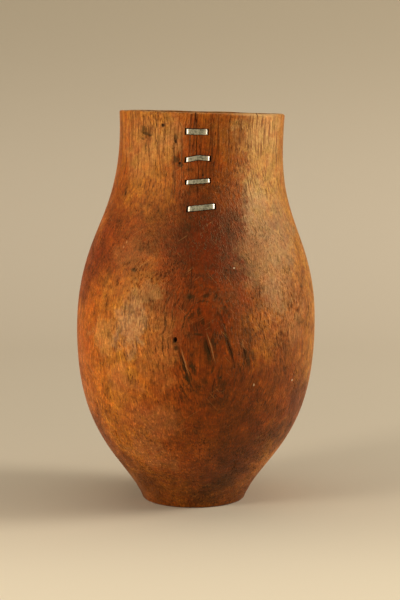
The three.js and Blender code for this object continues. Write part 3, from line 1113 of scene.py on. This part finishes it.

# %% [markdown]
# Years of fat, smoke and hands darkened some parts more than others. Low down the vessel is also darker
# towards the bottom and round the foot, and on the lower right that darkening is painted shade, where the
# lamps don't reach under the belly. Each spot is soft and uneven: an ellipsoid in space whose edge a noise
# breaks up. A spot multiplies the colour by its tint, so the grain stays visible through it. The table
# lists the large ones first.

# %% Wood: stains, and painted shade low on the right
STAINS_AND_SHADE = [
    # middle, reach each way in mm, tint, strength
    ((6, -70, 150), (46, 60, 62), "AA6334", 0.95),
    ((10, -62, 172), (36, 44, 30), "AE7450", 0.85),
    ((4, -74, 92), (42, 50, 44), "C48458", 0.85),
    ((58, -46, 122), (26, 44, 40), "D0A684", 0.7),
    # painted shade on the lower right, then the lower body and the foot darker towards the bottom
    ((44, -50, 74), (36, 44, 36), "A87454", 0.9),
    ((10, -60, 42), (50, 60, 40), "AE7A54", 0.9),
    ((24, -50, 34), (22, 26, 26), "9A8268", 0.8),
    ((0, 0, 6), (70, 70, 30), "94745A", 0.9),
    ((-3, -52, 214), (17, 24, 40), "CC8050", 0.8),
    ((20, -48, 216), (16, 30, 44), "C08C62", 0.8),
    ((-50, -50, 168), (30, 44, 36), "BA7E50", 0.9),
    ((0, 74, 150), (62, 50, 64), "BC7C50", 0.8),
    ((34, 60, 60), (50, 50, 45), "B88860", 0.8),
    ((-60, 40, 120), (30, 40, 50), "D0986A", 0.7),
    ((66, 36, 104), (34, 42, 80), "BE8A62", 0.8),
    ((-60, 48, 80), (30, 40, 60), "C49068", 0.6),
    ((46, 30, 214), (24, 40, 30), "D0A078", 0.6),
    ((-40, -54, 56), (12, 20, 20), "C49474", 0.4),
    ((-42, -52, 84), (9, 14, 11), "B07C5C", 0.35),
    ((56, -44, 106), (12, 20, 14), "C08C66", 0.4),
    # painted shade on the lower right flank
    ((62, -18, 64), (20, 32, 26), "AA7656", 0.85),
    ((46, -24, 46), (14, 26, 20), "AC7C5C", 0.7),
    # the lower left, darker towards the bottom
    ((-58, -16, 44), (16, 30, 18), "B48868", 0.8),
    ((-42, -22, 34), (12, 26, 16), "B48A68", 0.7),
    ((-66, -14, 150), (16, 40, 26), "BE9468", 0.8),
    ((-26, -54, 180), (13, 20, 32), "C89C70", 0.6),
    ((16, -72, 86), (16, 16, 15), "B4805A", 0.6),
    ((33, -66, 104), (9, 14, 12), "BC8C64", 0.6),
    ((-27, -68, 72), (10, 14, 10), "C4946C", 0.6),
    ((9, -50, 206), (8, 20, 20), "CCB8A0", 0.8),
    ((-68, -28, 135), (8, 18, 12), "D8C8B8", 0.6),
    ((2, -72, 74), (12, 10, 9), "C8A890", 0.5),
    ((-28, -34, 20), (12, 14, 12), "A08068", 0.6),
    ((16, -37, 14), (10, 14, 12), "8C7C64", 0.5),
    # painted shade on the lower right
    ((47, -34, 42), (12, 18, 20), "C8CCBC", 0.9),
    ((10, -72, 80), (22, 12, 12), "B89878", 0.4),
    ((-50, -26, 192), (12, 30, 20), "D0B49C", 0.7),
    ((-38, -34, 204), (12, 20, 16), "DABE9C", 0.6),
    ((-36, -34, 31), (12, 14, 10), "C0A890", 0.6),
    ((-28, -56, 168), (14, 18, 12), "D4BCA8", 0.5),
    ((-26, -66, 70), (18, 20, 22), "F8E2EC", 0.8),
    ((34, -66, 110), (8, 12, 9), "CDB49C", 0.6),
    # the left flank is the reddest, the right one the least red
    ((-52, -16, 216), (18, 40, 48), "FFE6BC", 0.9),
    ((-76, -20, 120), (36, 70, 110), "FFDEB0", 1.0),
    ((72, -20, 160), (46, 70, 120), "EEFAFA", 1.0),
]

spot_noise = add_node(
    wood_tree, "ShaderNodeTexNoise", {"Vector": in_mm, "Scale": 1 / 14, "Detail": 5, "Roughness": 0.7}
).outputs["Color"]
spot_place = moved_about(spot_noise, (44, 44, 44))


def darkened_by_tint(under, share, tint):
    """A colour with a tint multiplied over a share of it."""
    mix = {"Factor": share, 6: under, 7: colour(tint)}
    return add_node(wood_tree, "ShaderNodeMix", mix, data_type="RGBA", blend_type="MULTIPLY").outputs[2]


for middle, reach, tint, strength in STAINS_AND_SHADE:
    wood_colour = darkened_by_tint(wood_colour, spot_share(spot_place, middle, reach, strength), tint)
wood_colour = darkened_by_tint(wood_colour, pores_seen, "A07C64")
print("stains:", len(STAINS_AND_SHADE))

# %% [markdown]
# Where hands rubbed it, the wood is paler, and in one place the sapwood shows orange. Other paler spots,
# on the right of the neck and shoulder and on the left of the belly, are painted sheen, where the lamps
# shine on the wood. A paler colour can't be multiplied in, so these spots are mixed over what lies under
# them. Between the pores of the two flocks on the belly, which lie in those sheens, pale flecks are
# painted glints of the sheen.

# %% Wood: paler patches and painted sheen
def painted(under, share, tint):
    """A colour with another one laid over a share of it."""
    mix = {"Factor": share, 6: under, 7: colour(tint)}
    return add_node(wood_tree, "ShaderNodeMix", mix, data_type="RGBA").outputs[2]


# pale flecks between the pores: painted glints in the two sheens on the belly
glint_flecks = add_node(
    wood_tree, "ShaderNodeMapRange", {"Value": pore_noise, "From Min": 0.42, "From Max": 0.3}
).outputs[0]
for middle, reach, _ in FLOCKS[:2]:
    share = add_node(
        wood_tree,
        "ShaderNodeMath",
        {0: glint_flecks, 1: spot_share(spot_place, middle, reach, 0.42)},
        operation="MULTIPLY",
    ).outputs[0]
    wood_colour = painted(wood_colour, share, "D8A56A")

PALE_PATCHES_AND_SHEEN = [
    # middle, reach each way in mm, colour, strength
    # painted sheen of the key light down the right of the neck
    ((42, -35, 214), (18, 24, 38), "D2A45C", 0.5),
    ((-18, -46, 226), (12, 14, 18), "C88E4A", 0.32),
    ((-26, -65, 134), (10, 14, 9), "B8844E", 0.48),
    ((-13, -73, 108), (8, 10, 13), "B4642C", 0.35),
    # painted light along the right edge of the neck
    ((51, -12, 218), (10, 22, 32), "CC8E48", 0.3),
    # painted sheen of the key light on the right of the shoulder
    ((40, -56, 166), (15, 24, 30), "B08C5C", 0.26),
    ((50, -51, 146), (12, 20, 20), "B08858", 0.26),
    ((24, -47, 228), (9, 14, 14), "B8762E", 0.3),
    # painted sheen of the left lamp on the belly
    ((-37, -63, 120), (16, 18, 18), "BC8E60", 0.3),
    ((-19, -70, 106), (13, 18, 28), "D0803E", 0.42),
    ((-20, -68, 62), (16, 18, 16), "AC6A36", 0.3),
    ((60, -44, 116), (12, 18, 14), "B07844", 0.3),
    ((-54, -51, 108), (11, 16, 14), "DC9850", 0.5),
    ((-43, -58, 86), (12, 16, 11), "C47840", 0.42),
    ((-39, -57, 66), (16, 18, 15), "B0602E", 0.32),
    ((-24, -64, 60), (14, 16, 14), "9C5630", 0.3),
    ((-68, -28, 103), (9, 18, 17), "CE661C", 0.5),
    ((-26, -50, 44), (15, 16, 14), "B06C3A", 0.5),
    # painted sheen of the left lamp on the belly
    ((-38, -62, 117), (13, 16, 16), "D8A878", 0.3),
    # painted sheen of the key light on the right of the shoulder
    ((46, -58, 134), (10, 16, 12), "B88A5C", 0.35),
    ((-4, -73, 120), (10, 10, 12), "AA501E", 0.5),
    # painted sheen of the key light high on the right of the neck
    ((42, -34, 232), (18, 22, 16), "DDB070", 0.45),
    ((-34, -38, 224), (18, 24, 26), "C89464", 0.22),
    ((-13, -47, 228), (10, 12, 14), "D08C50", 0.42),
    ((-40, -55, 160), (10, 14, 9), "A8602E", 0.4),
    ((20, -69, 135), (9, 10, 9), "8E4A20", 0.35),
    ((34, -63, 148), (9, 12, 10), "86683C", 0.3),
    ((-17, -48, 37), (10, 12, 11), "A86838", 0.4),
    # painted sheen of the key light on the right of the shoulder
    ((54, -42, 174), (16, 30, 26), "A08464", 0.42),
    ((35, -46, 190), (9, 16, 18), "BE9E70", 0.48),
]
for middle, reach, tint, strength in PALE_PATCHES_AND_SHEEN:
    wood_colour = painted(wood_colour, spot_share(spot_place, middle, reach, strength), tint)
print("paler patches:", len(PALE_PATCHES_AND_SHEEN))

# %% [markdown]
# Long thin dark lines run down the neck, each 0.6 mm wide or so and up to 70 mm long: a noise that is drawn
# out along the grain, and let through on the neck only. Beside the crack a few lines are darker than the
# rest, and each of those is a spot of its own.

# %% Wood: lines down the neck
line_noise = streaks(grown, 1.15, 70, 2)
neck_lines = add_node(
    wood_tree, "ShaderNodeMapRange", {"Value": line_noise, "From Min": 0.5, "From Max": 0.64, "To Max": 0.75}
).outputs[0]
neck_lines = add_node(
    wood_tree, "ShaderNodeMath", {0: neck_lines, 1: on_neck}, operation="MULTIPLY"
).outputs[0]
wood_colour = darkened_by_tint(wood_colour, neck_lines, "8E5E40")
DARK_LINES = [
    # across, height of the middle, half length
    (-6.6, 222, 15),
    (-1.6, 221, 12),
    (4.4, 222, 14),
    (11.2, 220, 17),
    (15.0, 226, 14),
    (-10.8, 206, 12),
    (5.6, 205, 9),
    (-2.0, 199, 8),
    (8.6, 186, 8),
]
for across, level, half in DARK_LINES:
    wood_colour = darkened_by_tint(wood_colour, spot_share(in_mm, (across, -50, level), (0.8, 8, half), 0.6), "77492E")
print("dark lines:", len(DARK_LINES))

# %% [markdown]
# Three finer things lie over all of it. The grain is speckled at 1 to 3 mm, where oil stayed in the open
# wood. Patches of some 6 mm lean to olive or to red, as the oil aged in one and the wood itself shows in
# the other. And fine pale hairs, 0.5 mm wide and 5 mm long, are fibres that stand up a little and rub clean.
# They show most low down, where the vessel is set down and scrubbed.

# %% Wood: speckle, hue and hairs
speckle = add_node(
    wood_tree, "ShaderNodeTexNoise", {"Vector": in_mm, "Scale": 1 / 2.1, "Detail": 4, "Roughness": 0.72}
).outputs[0]
speckle_share = add_node(
    wood_tree, "ShaderNodeMapRange", {"Value": speckle, "From Min": 0.42, "From Max": 0.7, "To Max": 0.56}
).outputs[0]
wood_colour = darkened_by_tint(wood_colour, speckle_share, "88583A")

hue = add_node(
    wood_tree, "ShaderNodeTexNoise", {"Vector": in_mm, "Scale": 1 / 6, "Detail": 3, "Roughness": 0.6}
).outputs[0]
for most, tint in ((0.66, "CCDCB0"), (0.34, "F4C4B4")):
    share = add_node(
        wood_tree, "ShaderNodeMapRange", {"Value": hue, "From Min": 0.5, "From Max": most, "To Max": 0.45}
    ).outputs[0]
    wood_colour = darkened_by_tint(wood_colour, share, tint)

hairs = streaks(grown, 0.8, 5, 1)
hair_share = add_node(
    wood_tree, "ShaderNodeMapRange", {"Value": hairs, "From Min": 0.56, "From Max": 0.74}
).outputs[0]
hair_strength = add_node(
    wood_tree,
    "ShaderNodeMapRange",
    {"Value": wood_axes["Z"], "From Min": 30, "From Max": 200, "To Min": 1.0, "To Max": 0.25},
).outputs[0]
hair_share = add_node(
    wood_tree, "ShaderNodeMath", {0: hair_share, 1: hair_strength}, operation="MULTIPLY"
).outputs[0]
rubbed_clean = add_node(
    wood_tree, "ShaderNodeVectorMath", {0: wood_colour, 1: (1.9, 2.0, 2.1)}, operation="MULTIPLY"
).outputs[0]
wood_colour = add_node(
    wood_tree, "ShaderNodeMix", {"Factor": hair_share, 6: wood_colour, 7: rubbed_clean}, data_type="RGBA"
).outputs[2]
inside_wood = wood_colour
print("wood nodes so far:", len(wood_tree.nodes))

# %% [markdown]
# A branch started inside the belly, and the grain flows round it. On the front it shows as nested ovals,
# taller than wide, drawn in broken dark strokes. They are worked out as the rings are: from a distance,
# here sideways and up from the branch, through a noise that has only that distance to go by. To the left,
# where the outside cuts across the yearly rings, lies a second, wider and fainter set.

# %% Wood: the ovals on the belly
OVALS_MIDDLE = (6, -74, 106)
LEFT_OVALS = (-40, -62, 108)

oval_place = moved_about(spot_noise, (8, 0, 14))
# They fade out in places, so that no oval closes.
broken = add_node(wood_tree, "ShaderNodeTexNoise", {"Vector": in_mm, "Scale": 1 / 11, "Detail": 2}).outputs[0]
broken = add_node(
    wood_tree, "ShaderNodeMapRange", {"Value": broken, "From Min": 0.36, "From Max": 0.52}
).outputs[0]


def nested_ovals(middle, squeeze, ring_width):
    """A noise that goes round a place on the front: its distance counts more sideways than up."""
    near = add_node(
        wood_tree,
        "ShaderNodeVectorMath",
        {0: oval_place, 1: (squeeze, 0, 1), 2: (-squeeze * middle[0], 0, -middle[2])},
        operation="MULTIPLY_ADD",
    ).outputs[0]
    away = add_node(wood_tree, "ShaderNodeVectorMath", {0: near}, operation="LENGTH").outputs["Value"]
    return add_node(
        wood_tree,
        "ShaderNodeTexNoise",
        {"W": away, "Scale": 1 / ring_width, "Detail": 2},
        noise_dimensions="1D",
    ).outputs[0]


def drawn_faintly(under, ovals, middle, reach, strength):
    """A colour with a set of ovals over it, as far as the set reaches."""
    share = add_node(
        wood_tree, "ShaderNodeMapRange", {"Value": ovals, "From Min": 0.46, "From Max": 0.68}
    ).outputs[0]
    for part in (spot_share(in_mm, middle, reach, strength), broken):
        share = add_node(wood_tree, "ShaderNodeMath", {0: share, 1: part}, operation="MULTIPLY").outputs[0]
    return darkened_by_tint(under, share, "84563C")


ovals = nested_ovals(OVALS_MIDDLE, 2, 3.6)
wood_colour = drawn_faintly(wood_colour, ovals, OVALS_MIDDLE, (40, 44, 56), 0.5)
left_ovals = nested_ovals(LEFT_OVALS, 1.3, 4.4)
wood_colour = drawn_faintly(wood_colour, left_ovals, LEFT_OVALS, (34, 30, 42), 0.42)

# The strokes are darkest where an oval's side runs upright, beside the branch.
strokes = streaks(oval_place, 1.9, 17, 2)
oval_sum = add_node(
    wood_tree, "ShaderNodeMath", {0: strokes, 1: 1.1, 2: ovals}, operation="MULTIPLY_ADD"
).outputs[0]
oval_lines = add_node(
    wood_tree,
    "ShaderNodeMapRange",
    {"Value": oval_sum, "From Min": 1.1, "From Max": 1.26},
    interpolation_type="SMOOTHSTEP",
).outputs[0]
for part in (spot_share(in_mm, OVALS_MIDDLE, (34, 44, 40), 0.8), broken):
    oval_lines = add_node(
        wood_tree, "ShaderNodeMath", {0: oval_lines, 1: part}, operation="MULTIPLY"
    ).outputs[0]
wood_colour = darkened_by_tint(wood_colour, oval_lines, "684430")
print("wood nodes so far:", len(wood_tree.nodes))

# %% [markdown]
# The small marks have their own dark or grey rims: the knot's scar, the pits, the insect's hole and the
# smudges beside the strips. A few small flecks of the wood broke out and show pale.

# %% Wood: small marks
MARKS = [
    # middle, reach each way in mm, tint, strength
    # the knot's scar
    ((-30.4, -36.4, 233.4), (1.1, 5, 2.6), "6C6450", 0.8),
    ((-29.0, -37.6, 230.8), (1.9, 5, 1.3), "5E5644", 0.85),
    ((-26.0, -39.4, 230.0), (2.6, 5, 0.9), "6C6450", 0.75),
    ((-30.4, -36.8, 227.6), (1.3, 5, 1.0), "6C6450", 0.7),
    ((-27.8, -38.9, 223.0), (0.7, 5, 6.0), "785A40", 0.7),
    ((-28.4, -38.3, 230.6), (5.0, 6, 4.6), "C6BCA2", 0.6),
    # the old knot's edge, beside the strips
    ((-10.6, -48.3, 227.2), (1.3, 4, 3.6), "544634", 0.8),
    ((-12.4, -47.7, 221.4), (0.9, 4, 4.6), "7A5A40", 0.7),
    ((-11.4, -48.4, 214.6), (1.2, 4, 3.6), "6A4E38", 0.7),
    ((-7.4, -50.0, 211.4), (2.6, 4, 1.6), "5E4432", 0.75),
    ((-2.0, -51.2, 208.6), (3.2, 4, 1.2), "70503A", 0.65),
    # round the pits and the insect's hole, and single smudges
    ((-17.8, -45.3, 235.9), (2.2, 3, 1.6), "4C382A", 0.8),
    ((-9.7, -49.7, 214.6), (2.0, 3, 2.2), "5A4236", 0.8),
    ((-10.3, -73.7, 111.6), (1.7, 3, 2.4), "503A2E", 0.9),
    ((-9.6, -73.9, 106.5), (1.7, 3, 2.0), "604636", 0.8),
    ((-1.2, -72.5, 137.0), (3.0, 5, 1.9), "5C4030", 0.8),
    ((8.0, -72.3, 137.0), (2.6, 5, 1.7), "5C4030", 0.8),
    ((-35.0, -58, 151.0), (2.0, 3, 1.6), "5C4030", 0.8),
    ((-40.6, -31.9, 194.8), (1.8, 3, 3.4), "684A38", 0.5),
    ((3.3, -74.5, 114.9), (3.2, 5, 1.2), "4E3A2A", 0.8),
]
FLECKS = [
    # middle, reach each way in mm, colour, strength
    ((24.1, -65.1, 152.7), (0.62, 0.62, 0.62), "E0C9A4", 0.8),
    ((59.8, -43.5, 82.3), (0.75, 0.75, 0.75), "E0C9A4", 0.8),
    ((36.1, -64.2, 82.9), (0.6, 0.6, 1.1), "D8B488", 0.65),
    ((-39.6, -48.3, 166.6), (0.7, 0.9, 1.3), "D88C50", 0.6),
    ((-41.4, -48.2, 163.6), (0.7, 0.9, 1.2), "D08048", 0.6),
]

mark_place = moved_about(spot_noise, (7, 7, 7))
for middle, reach, tint, strength in MARKS:
    wood_colour = darkened_by_tint(wood_colour, spot_share(mark_place, middle, reach, strength), tint)
for middle, reach, tint, strength in FLECKS:
    wood_colour = painted(wood_colour, spot_share(in_mm, middle, reach, strength), tint)
print("small marks:", len(MARKS) + len(FLECKS))

# %% [markdown]
# Beside the branch, dark strokes lie along the splits. They all lean the same way, so the place is turned
# until they stand upright, and each is then a spot that is tall and narrow. Some have a pale edge: a
# painted highlight, where the edge of the split catches the light.

# %% Wood: leaning strokes
STROKES_LEAN = math.radians(15.6)
STROKES_DEEP = 8
STROKES = [
    # middle of the stroke, half width, half length, tint, strength
    ((-5.4, -74, 96), 0.9, 11, "5A3C28", 0.8),
    ((8.5, -74, 104.5), 1.7, 10, "5A4634", 0.8),
    ((12.1, -74, 109), 1.2, 4.5, "6A5236", 0.7),
    ((21.0, -72, 108), 1.6, 14, "5C3A26", 0.8),
    ((27.2, -70, 94), 1.2, 5, "6E4A30", 0.6),
    ((28.4, -70, 108), 0.7, 4, "5E442E", 0.7),
    ((32.0, -68, 99.5), 1.7, 8, "5E5038", 0.75),
    ((0.2, -74, 94.2), 1.4, 5.5, "5A4030", 0.75),
    ((35.9, -66, 100), 1.6, 5, "74503C", 0.6),
    ((7.0, -73, 87), 2.2, 2.6, "6A4834", 0.7),
    ((17.6, -71, 84.5), 2.6, 3.2, "6E4C38", 0.7),
    ((-3.0, -73, 88), 1.4, 3.4, "4E382A", 0.8),
]
LIT_SPLIT_EDGES = [
    # middle, half width, half length
    ((-4.6, -74, 98.5), 0.5, 9.5),
    ((10.6, -74, 107), 0.5, 10.5),
    ((29.6, -69, 108), 0.5, 3),
]

stroke_place = moved_about(spot_noise, (3, 3, 3))
upright = add_node(
    wood_tree,
    "ShaderNodeVectorRotate",
    {"Vector": stroke_place, "Angle": STROKES_LEAN},
    rotation_type="Y_AXIS",
).outputs[0]
turn_upright = Matrix.Rotation(STROKES_LEAN, 3, "Y")
for middle, half_width, half_length, tint, strength in STROKES:
    reach = (half_width, STROKES_DEEP, half_length)
    share = spot_share(upright, turn_upright @ Vector(middle), reach, strength)
    wood_colour = darkened_by_tint(wood_colour, share, tint)
# painted highlights on the lit edges of the splits
for middle, half_width, half_length in LIT_SPLIT_EDGES:
    reach = (half_width, STROKES_DEEP, half_length)
    share = spot_share(upright, turn_upright @ Vector(middle), reach, 0.55)
    wood_colour = painted(wood_colour, share, "B87C48")
print("leaning strokes:", len(STROKES) + len(LIT_SPLIT_EDGES))

# %% [markdown]
# Fine scratches come from scrubbing and from setting the vessel down. A noise that is squeezed to 0.5 mm
# one way and drawn out to 11 mm the other way makes short straight strokes. Turned two ways, and let
# through only in places by a slower noise, it makes two sets of them.

# %% Wood: scratches
SCRATCHES = [
    # turn in degrees, lowest noise that is a scratch
    (33, 0.8),
    (-48, 0.81),
]
scratch_places = add_node(
    wood_tree, "ShaderNodeTexNoise", {"Vector": in_mm, "Scale": 1 / 18, "Detail": 2}
).outputs[0]
for (turn_by, lowest), places in zip(SCRATCHES, (scratch_places, flocks)):
    turned = add_node(
        wood_tree,
        "ShaderNodeVectorRotate",
        {"Vector": in_mm, "Angle": math.radians(turn_by)},
        rotation_type="Y_AXIS",
    ).outputs[0]
    lines = streaks(turned, 11, 0.5, 0)
    seen = add_node(
        wood_tree, "ShaderNodeMath", {0: places, 1: 0.25, 2: lines}, operation="MULTIPLY_ADD"
    ).outputs[0]
    share = add_node(
        wood_tree,
        "ShaderNodeMapRange",
        {"Value": seen, "From Min": lowest + 0.13, "From Max": lowest + 0.2, "To Max": 0.35},
    ).outputs[0]
    wood_colour = painted(wood_colour, share, "BC8448")
print("sets of scratches:", len(SCRATCHES))

# %% [markdown]
# The inside is darker and greyer, stained by milk and smoke. The lip is worn paler where it is gripped and
# drunk from. On its right it is paler still: worn, and with a painted highlight where its rounded edge
# catches the key light. The level is measured from the rim, which dips to that side.

# %% Wood: inside and lip
LIP_HIGHLIGHT = (40, -36, 242.4)

inside_node = add_node(wood_tree, "ShaderNodeAttribute", attribute_name="inside").outputs["Fac"]
inside_colour = darkened_by_tint(inside_wood, 1.0, "8C7A6C")
wood_colour = add_node(
    wood_tree, "ShaderNodeMix", {"Factor": inside_node, 6: wood_colour, 7: inside_colour}, data_type="RGBA"
).outputs[2]

lip_level = add_node(
    wood_tree,
    "ShaderNodeMath",
    {0: wood_axes["X"], 1: math.tan(RIM_DIP), 2: wood_axes["Z"]},
    operation="MULTIPLY_ADD",
).outputs[0]
wear_noise = add_node(
    wood_tree, "ShaderNodeTexNoise", {"Vector": in_mm, "Scale": 1 / 5, "Detail": 3}
).outputs[0]
lip_worn = add_node(
    wood_tree, "ShaderNodeMath", {0: wear_noise, 1: 3.0, 2: lip_level}, operation="MULTIPLY_ADD"
).outputs[0]
lip_share = add_node(
    wood_tree,
    "ShaderNodeMapRange",
    {"Value": lip_worn, "From Min": HEIGHT + 0.6, "From Max": HEIGHT + 1.9, "To Max": 0.5},
    interpolation_type="SMOOTHSTEP",
).outputs[0]
wood_colour = painted(wood_colour, lip_share, "C08E52")
# painted highlight along the right of the lip, over its wear
wood_colour = painted(wood_colour, spot_share(in_mm, LIP_HIGHLIGHT, (22, 24, 1.6), 0.55), "D2A468")
print("wood nodes so far:", len(wood_tree.nodes))

# %% [markdown]
# Handled wood shines a little, its pores and the inside don't, so the roughness follows them. The surface
# is uneven at 1 mm, drawn out to 2 mm along the grain, and that breaks up the sheen. The sheen of oiled
# wood takes some of the wood's warmth, so its specular tint is a warm one.

# %% Wood: finish
grit = streaks(grown, 1.1, 2.2, 3, 0.65)
gloss = add_node(
    wood_tree,
    "ShaderNodeMapRange",
    {"Value": mottle, "From Min": 0.3, "From Max": 0.7, "To Min": 0.38, "To Max": 0.54},
).outputs[0]
gloss = add_node(
    wood_tree, "ShaderNodeMath", {0: pores_seen, 1: 0.25, 2: gloss}, operation="MULTIPLY_ADD"
).outputs[0]
gloss = add_node(
    wood_tree, "ShaderNodeMath", {0: inside_node, 1: 0.25, 2: gloss}, operation="MULTIPLY_ADD", use_clamp=True
).outputs[0]
relief_height = add_node(
    wood_tree, "ShaderNodeMath", {0: pores_seen, 1: -0.9, 2: fibres}, operation="MULTIPLY_ADD"
).outputs[0]
relief_height = add_node(
    wood_tree, "ShaderNodeMath", {0: grit, 1: 1.5, 2: relief_height}, operation="MULTIPLY_ADD"
).outputs[0]
relief = add_node(
    wood_tree, "ShaderNodeBump", {"Height": relief_height, "Strength": 0.7, "Distance": 0.4 * MM}
).outputs[0]

oiled = add_node(
    wood_tree,
    "ShaderNodeBsdfPrincipled",
    {"Base Color": wood_colour, "Roughness": gloss, "Specular Tint": colour("FFD684"), "Normal": relief},
)
add_node(wood_tree, "ShaderNodeOutputMaterial", {"Surface": oiled.outputs["BSDF"]})
print("wood nodes:", len(wood_tree.nodes))

# %% [markdown]
# Inside a cut the wood was never oiled. It is dry, dark with dirt and with painted shade, and a little
# streaked along the grain.

# %% Wood in the cuts
cut_place = add_node(cut_tree, "ShaderNodeTexCoord").outputs["Object"]
# a streak is 0.7 mm wide and 4 mm long
cut_streaks = add_node(
    cut_tree, "ShaderNodeVectorMath", {0: cut_place, 1: (1400, 1400, 250)}, operation="MULTIPLY"
).outputs[0]
cut_noise = add_node(
    cut_tree, "ShaderNodeTexNoise", {"Vector": cut_streaks, "Scale": 1, "Detail": 2}
).outputs[0]
# the cuts' colour: dirt, and painted shade deep in the slots, the recesses and the crack
cut_colour = add_node(
    cut_tree,
    "ShaderNodeMix",
    {"Factor": cut_noise, 6: colour("24140C"), 7: colour("5C3820")},
    data_type="RGBA",
).outputs[2]
raw = add_node(
    cut_tree,
    "ShaderNodeBsdfPrincipled",
    {"Base Color": cut_colour, "Roughness": 0.85, "Specular IOR Level": 0.2},
)
add_node(cut_tree, "ShaderNodeOutputMaterial", {"Surface": raw.outputs["BSDF"]})
print("cut wood nodes:", len(cut_tree.nodes))

# %% [markdown]
# ## The metal
#
# The strips are soft metal, hammered flat and gone dull. The dents are in the mesh. The material adds what
# is finer: a grey green tarnish in cloudy patches, which is duller than the metal, small bumps, and a
# painted glint of brighter metal at the bends.

# %% Tarnished strips
metal, metal_tree = new_material("tarnished_aluminium")
metal_place = add_node(metal_tree, "ShaderNodeTexCoord").outputs["Object"]
metal_mm = add_node(
    metal_tree, "ShaderNodeVectorMath", {0: metal_place, "Scale": 1 / MM}, operation="SCALE"
).outputs[0]
clouds = add_node(
    metal_tree, "ShaderNodeTexNoise", {"Vector": metal_mm, "Scale": 1 / 1.3, "Detail": 4, "Roughness": 0.7}
).outputs[0]
tarnish = add_node(
    metal_tree,
    "ShaderNodeMapRange",
    {"Value": clouds, "From Min": 0.36, "From Max": 0.64},
    interpolation_type="SMOOTHSTEP",
).outputs[0]
metal_tint = add_node(
    metal_tree,
    "ShaderNodeMix",
    {"Factor": tarnish, 6: colour("D2CFBC"), 7: colour("7C7C6C")},
    data_type="RGBA",
).outputs[2]
# painted glint: brighter metal at the bends
bend_glint_node = add_node(metal_tree, "ShaderNodeAttribute", attribute_name="bend_glint").outputs["Fac"]
metal_tint = add_node(
    metal_tree, "ShaderNodeMix", {"Factor": bend_glint_node, 6: metal_tint, 7: colour("F2EBDA")}, data_type="RGBA"
).outputs[2]
dullness = add_node(
    metal_tree,
    "ShaderNodeMapRange",
    {"Value": clouds, "From Min": 0.3, "From Max": 0.7, "To Min": 0.3, "To Max": 0.55},
).outputs[0]
dents = add_node(
    metal_tree, "ShaderNodeBump", {"Height": clouds, "Strength": 0.5, "Distance": 0.12 * MM}
).outputs[0]
strip_metal = add_node(
    metal_tree,
    "ShaderNodeBsdfPrincipled",
    {"Base Color": metal_tint, "Metallic": 1.0, "Roughness": dullness, "Normal": dents},
)
add_node(metal_tree, "ShaderNodeOutputMaterial", {"Surface": strip_metal.outputs["BSDF"]})
for name in STRIPS:
    bpy.data.objects[name.replace("staple", "mending_strip")].data.materials.append(metal)
print("metal nodes:", len(metal_tree.nodes))
